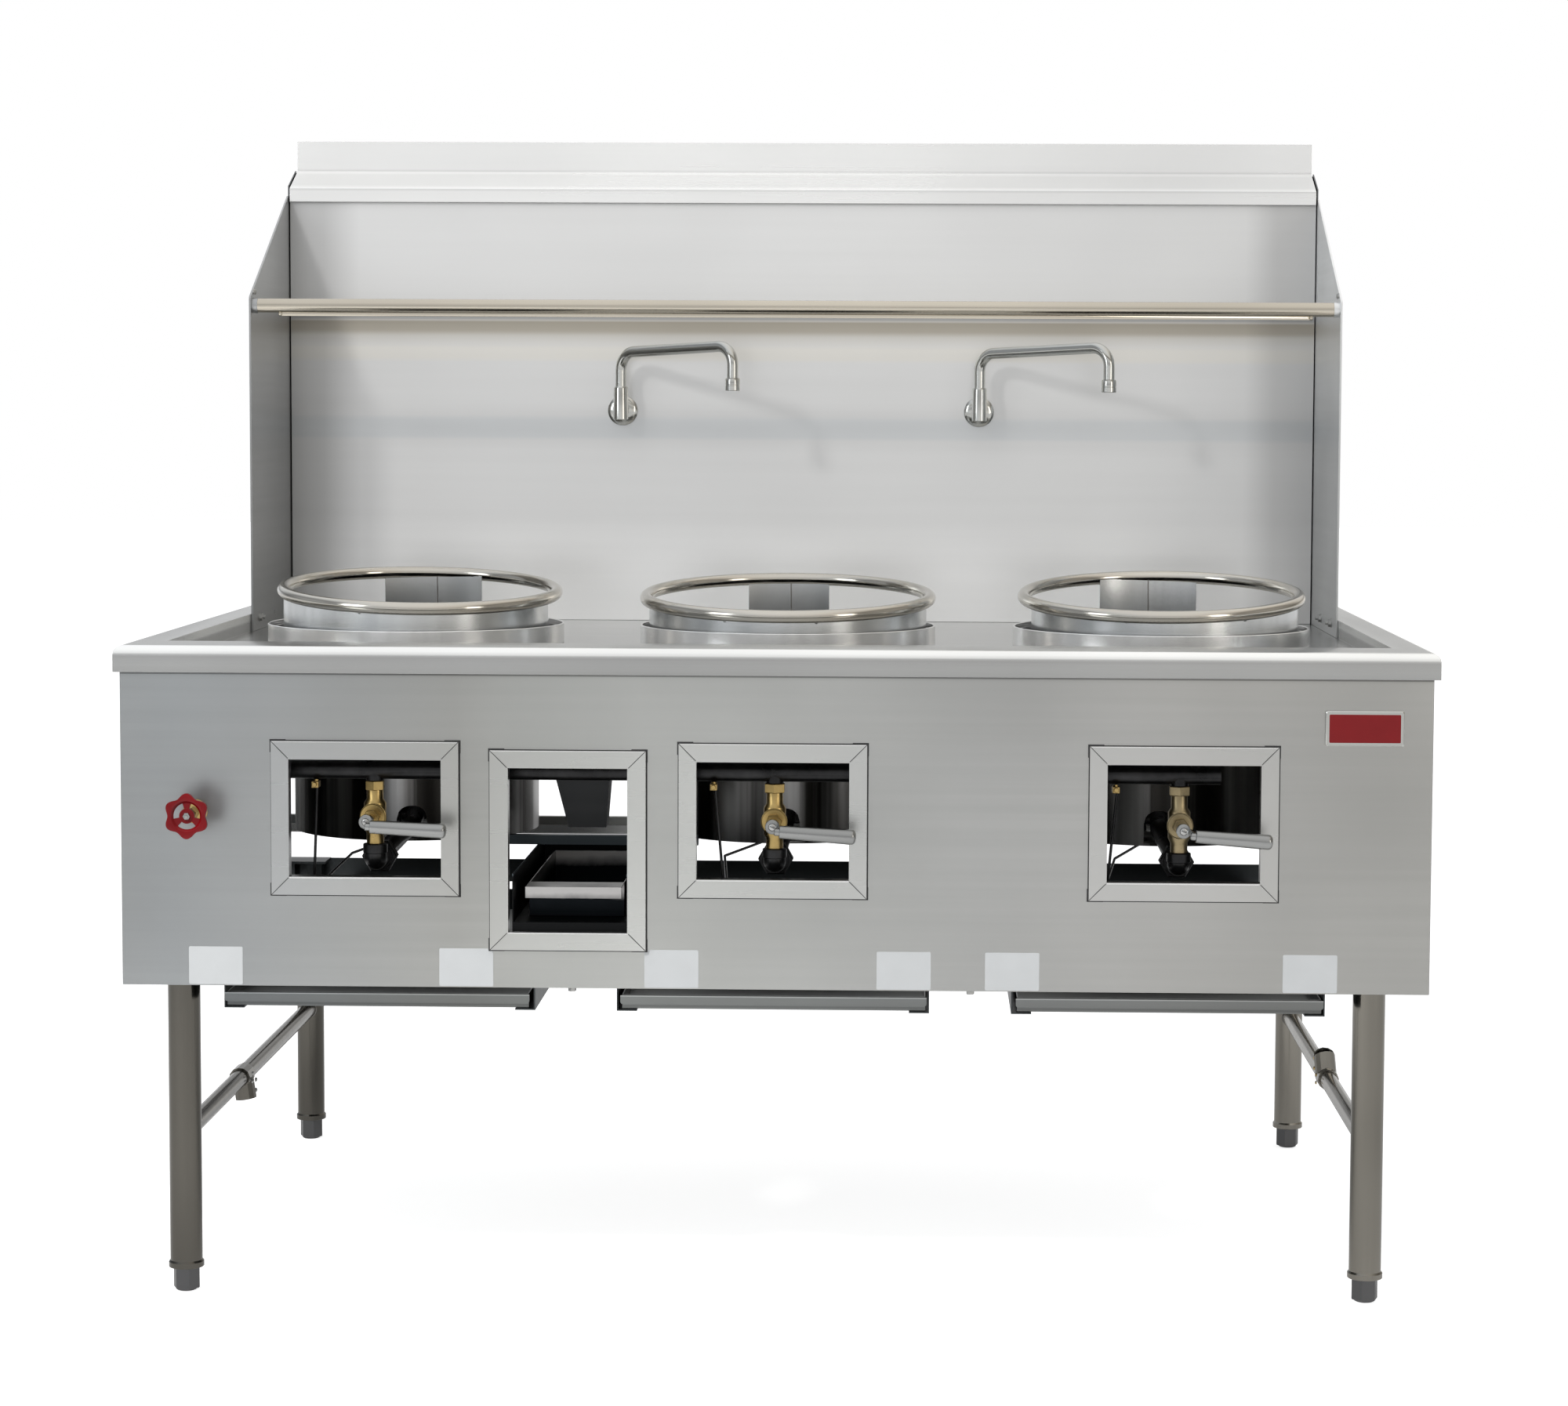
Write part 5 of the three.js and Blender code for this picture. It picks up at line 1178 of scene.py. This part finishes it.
# -------- camera
YAW, PITCH_DOWN, ROLL = 0.0208, 0.0725, 0.0047  # radians
CAMERA_AT = (192.3, -4728.4, 1253.7)
FOCAL_PX, PHOTO_W = 4400.0, 2000.0
SENSOR = 36.0
SHIFT = (-0.03735, -0.03215)
FAR = 200
level = cos(PITCH_DOWN)
right = Vector((cos(YAW), sin(YAW), 0))
ahead = Vector((-sin(YAW) * level, cos(YAW) * level, -sin(PITCH_DOWN)))
above = right.cross(ahead)
camera_right = right * cos(ROLL) + above * sin(ROLL)
camera_up = above * cos(ROLL) - right * sin(ROLL)
camera_data = bpy.data.cameras.new("camera")
camera = linked("camera", camera_data)
pose = Matrix((camera_right, camera_up, -ahead)).transposed().to_4x4()
pose.translation = place(*CAMERA_AT)
camera.matrix_world = pose
camera_data.sensor_width = SENSOR
camera_data.sensor_fit = "HORIZONTAL"
camera_data.lens = FOCAL_PX / PHOTO_W * SENSOR
camera_data.shift_x, camera_data.shift_y = SHIFT
camera_data.clip_end = FAR
scene.camera = camera
scene.view_settings.view_transform = "Standard"

# -------- world
WHITE = (1.0, 1.0, 1.0)
# what polished metal shows round it: pale, with darker ends, and a dark line above the middle
ROOM_ACROSS = [
    (0.00, (0.62, 0.65, 0.68)), (0.10, (0.30, 0.31, 0.33)), (0.22, (0.86, 0.90, 0.94)),
    (0.36, (0.97, 0.98, 1.0)), (0.50, WHITE), (0.64, (1.0, 0.99, 0.97)), (0.78, (0.92, 0.88, 0.82)),
    (0.90, (0.34, 0.32, 0.29)), (1.00, (0.60, 0.58, 0.54))]
ROOM_HEIGHT = [
    (0.0, 0.55), (0.44, 0.80), (0.50, 0.94), (0.535, 0.90), (0.56, 0.42), (0.59, 0.42), (0.62, 0.80),
    (0.72, 0.80), (0.82, 0.94), (0.92, 1.0), (1.0, 1.0)]
DAYLIGHT = (0.98, 0.99, 1)
DAYLIGHT_POWER = 0.75
world = bpy.data.worlds.new("studio")
scene.world = world
world.use_nodes = True
sky = Tree(world.node_tree)
split = sky.add("ShaderNodeSeparateXYZ")
sky.link(sky.add("ShaderNodeTexCoord").outputs["Generated"], split.inputs[0])
across = sky.ramp(sky.math("MULTIPLY_ADD", split.outputs[0], 0.5, 0.5), ROOM_ACROSS)
height = sky.ramp(sky.math("MULTIPLY_ADD", split.outputs[2], 0.5, 0.5), ROOM_HEIGHT)
room = sky.mix(1.0, across, height, "MULTIPLY")


def ray_kinds(tree):
    """Whether a ray comes from the camera, and whether metal or glass sent it."""
    ray = tree.add("ShaderNodeLightPath")
    in_gloss = tree.math("MAXIMUM", ray.outputs["Is Glossy Ray"], ray.outputs["Is Transmission Ray"])
    return ray.outputs["Is Camera Ray"], in_gloss


from_camera, in_gloss = ray_kinds(sky)
daylight = sky.shader("Background", rgb(DAYLIGHT), DAYLIGHT_POWER)
around = sky.shader("MixShader", in_gloss, daylight, sky.shader("Background", room))
world_out = sky.add("ShaderNodeOutputWorld")
backdrop = sky.shader("Background", rgb(WHITE))
sky.link(sky.shader("MixShader", from_camera, around, backdrop), world_out.inputs[0])


# -------- lamps
def lamp(name, at, aim, size, power, color):
    d = bpy.data.lights.new(name, "AREA")
    d.shape = "RECTANGLE"
    d.size, d.size_y = size
    d.energy = power
    d.color = color
    o = linked(name, d)
    o.location = at
    o.rotation_euler = (Vector(aim) - Vector(at)).to_track_quat("-Z", "Y").to_euler()
    return o


WARM = (1.0, 0.99, 0.97)
top_box = lamp("top_box", (-0.6, -1.6, 4.2), (0, 0.2, 0.9), (3.6, 2.2), 58, WARM)
key = lamp("key", (-2.3, -3.0, 3.3), (0.1, 0.4, 1.1), (0.40, 0.40), 110, WARM)
lamp("left_box", (-4.2, -3.4, 2.6), (0, 0, 0.8), (1.6, 2.4), 42, (0.95, 0.98, 1.0))
lamp("right_box", (3.8, -3.6, 2.0), (0, 0, 0.8), (1.2, 2.2), 24, (1.0, 0.96, 0.9))
for box in (top_box, key):
    box.visible_glossy = False

# -------- floor
FLOOR_SIZE = 60
FLOOR_AT = (0, 0, -0.0005)  # a hair below the feet
FLOOR_TONE = (0.55, 0.55, 0.55)
FLOOR_GLOW = 0.80  # lifts the floor to white where the camera sees it
GLOW_IN_METAL = 0.37
bpy.ops.mesh.primitive_grid_add(x_subdivisions=2, y_subdivisions=2, size=FLOOR_SIZE, location=FLOOR_AT)
floor = bpy.context.object
floor.name = "floor"
floor_mat = bpy.data.materials.new("floor_pale")
floor_mat.use_nodes = True
ground = Tree(floor_mat.node_tree)
matte = ground.shader("BsdfDiffuse", rgb(FLOOR_TONE))
glow = ground.fed("ShaderNodeEmission", rgb(WHITE))
from_camera, in_gloss = ray_kinds(ground)
seen = ground.math("MAXIMUM", from_camera, ground.math("MULTIPLY", in_gloss, GLOW_IN_METAL))
ground.link(ground.math("MULTIPLY", seen, FLOOR_GLOW), glow.inputs[1])
ground.fed("ShaderNodeOutputMaterial", ground.shader("AddShader", matte, glow.outputs[0]))
floor.data.materials.append(floor_mat)
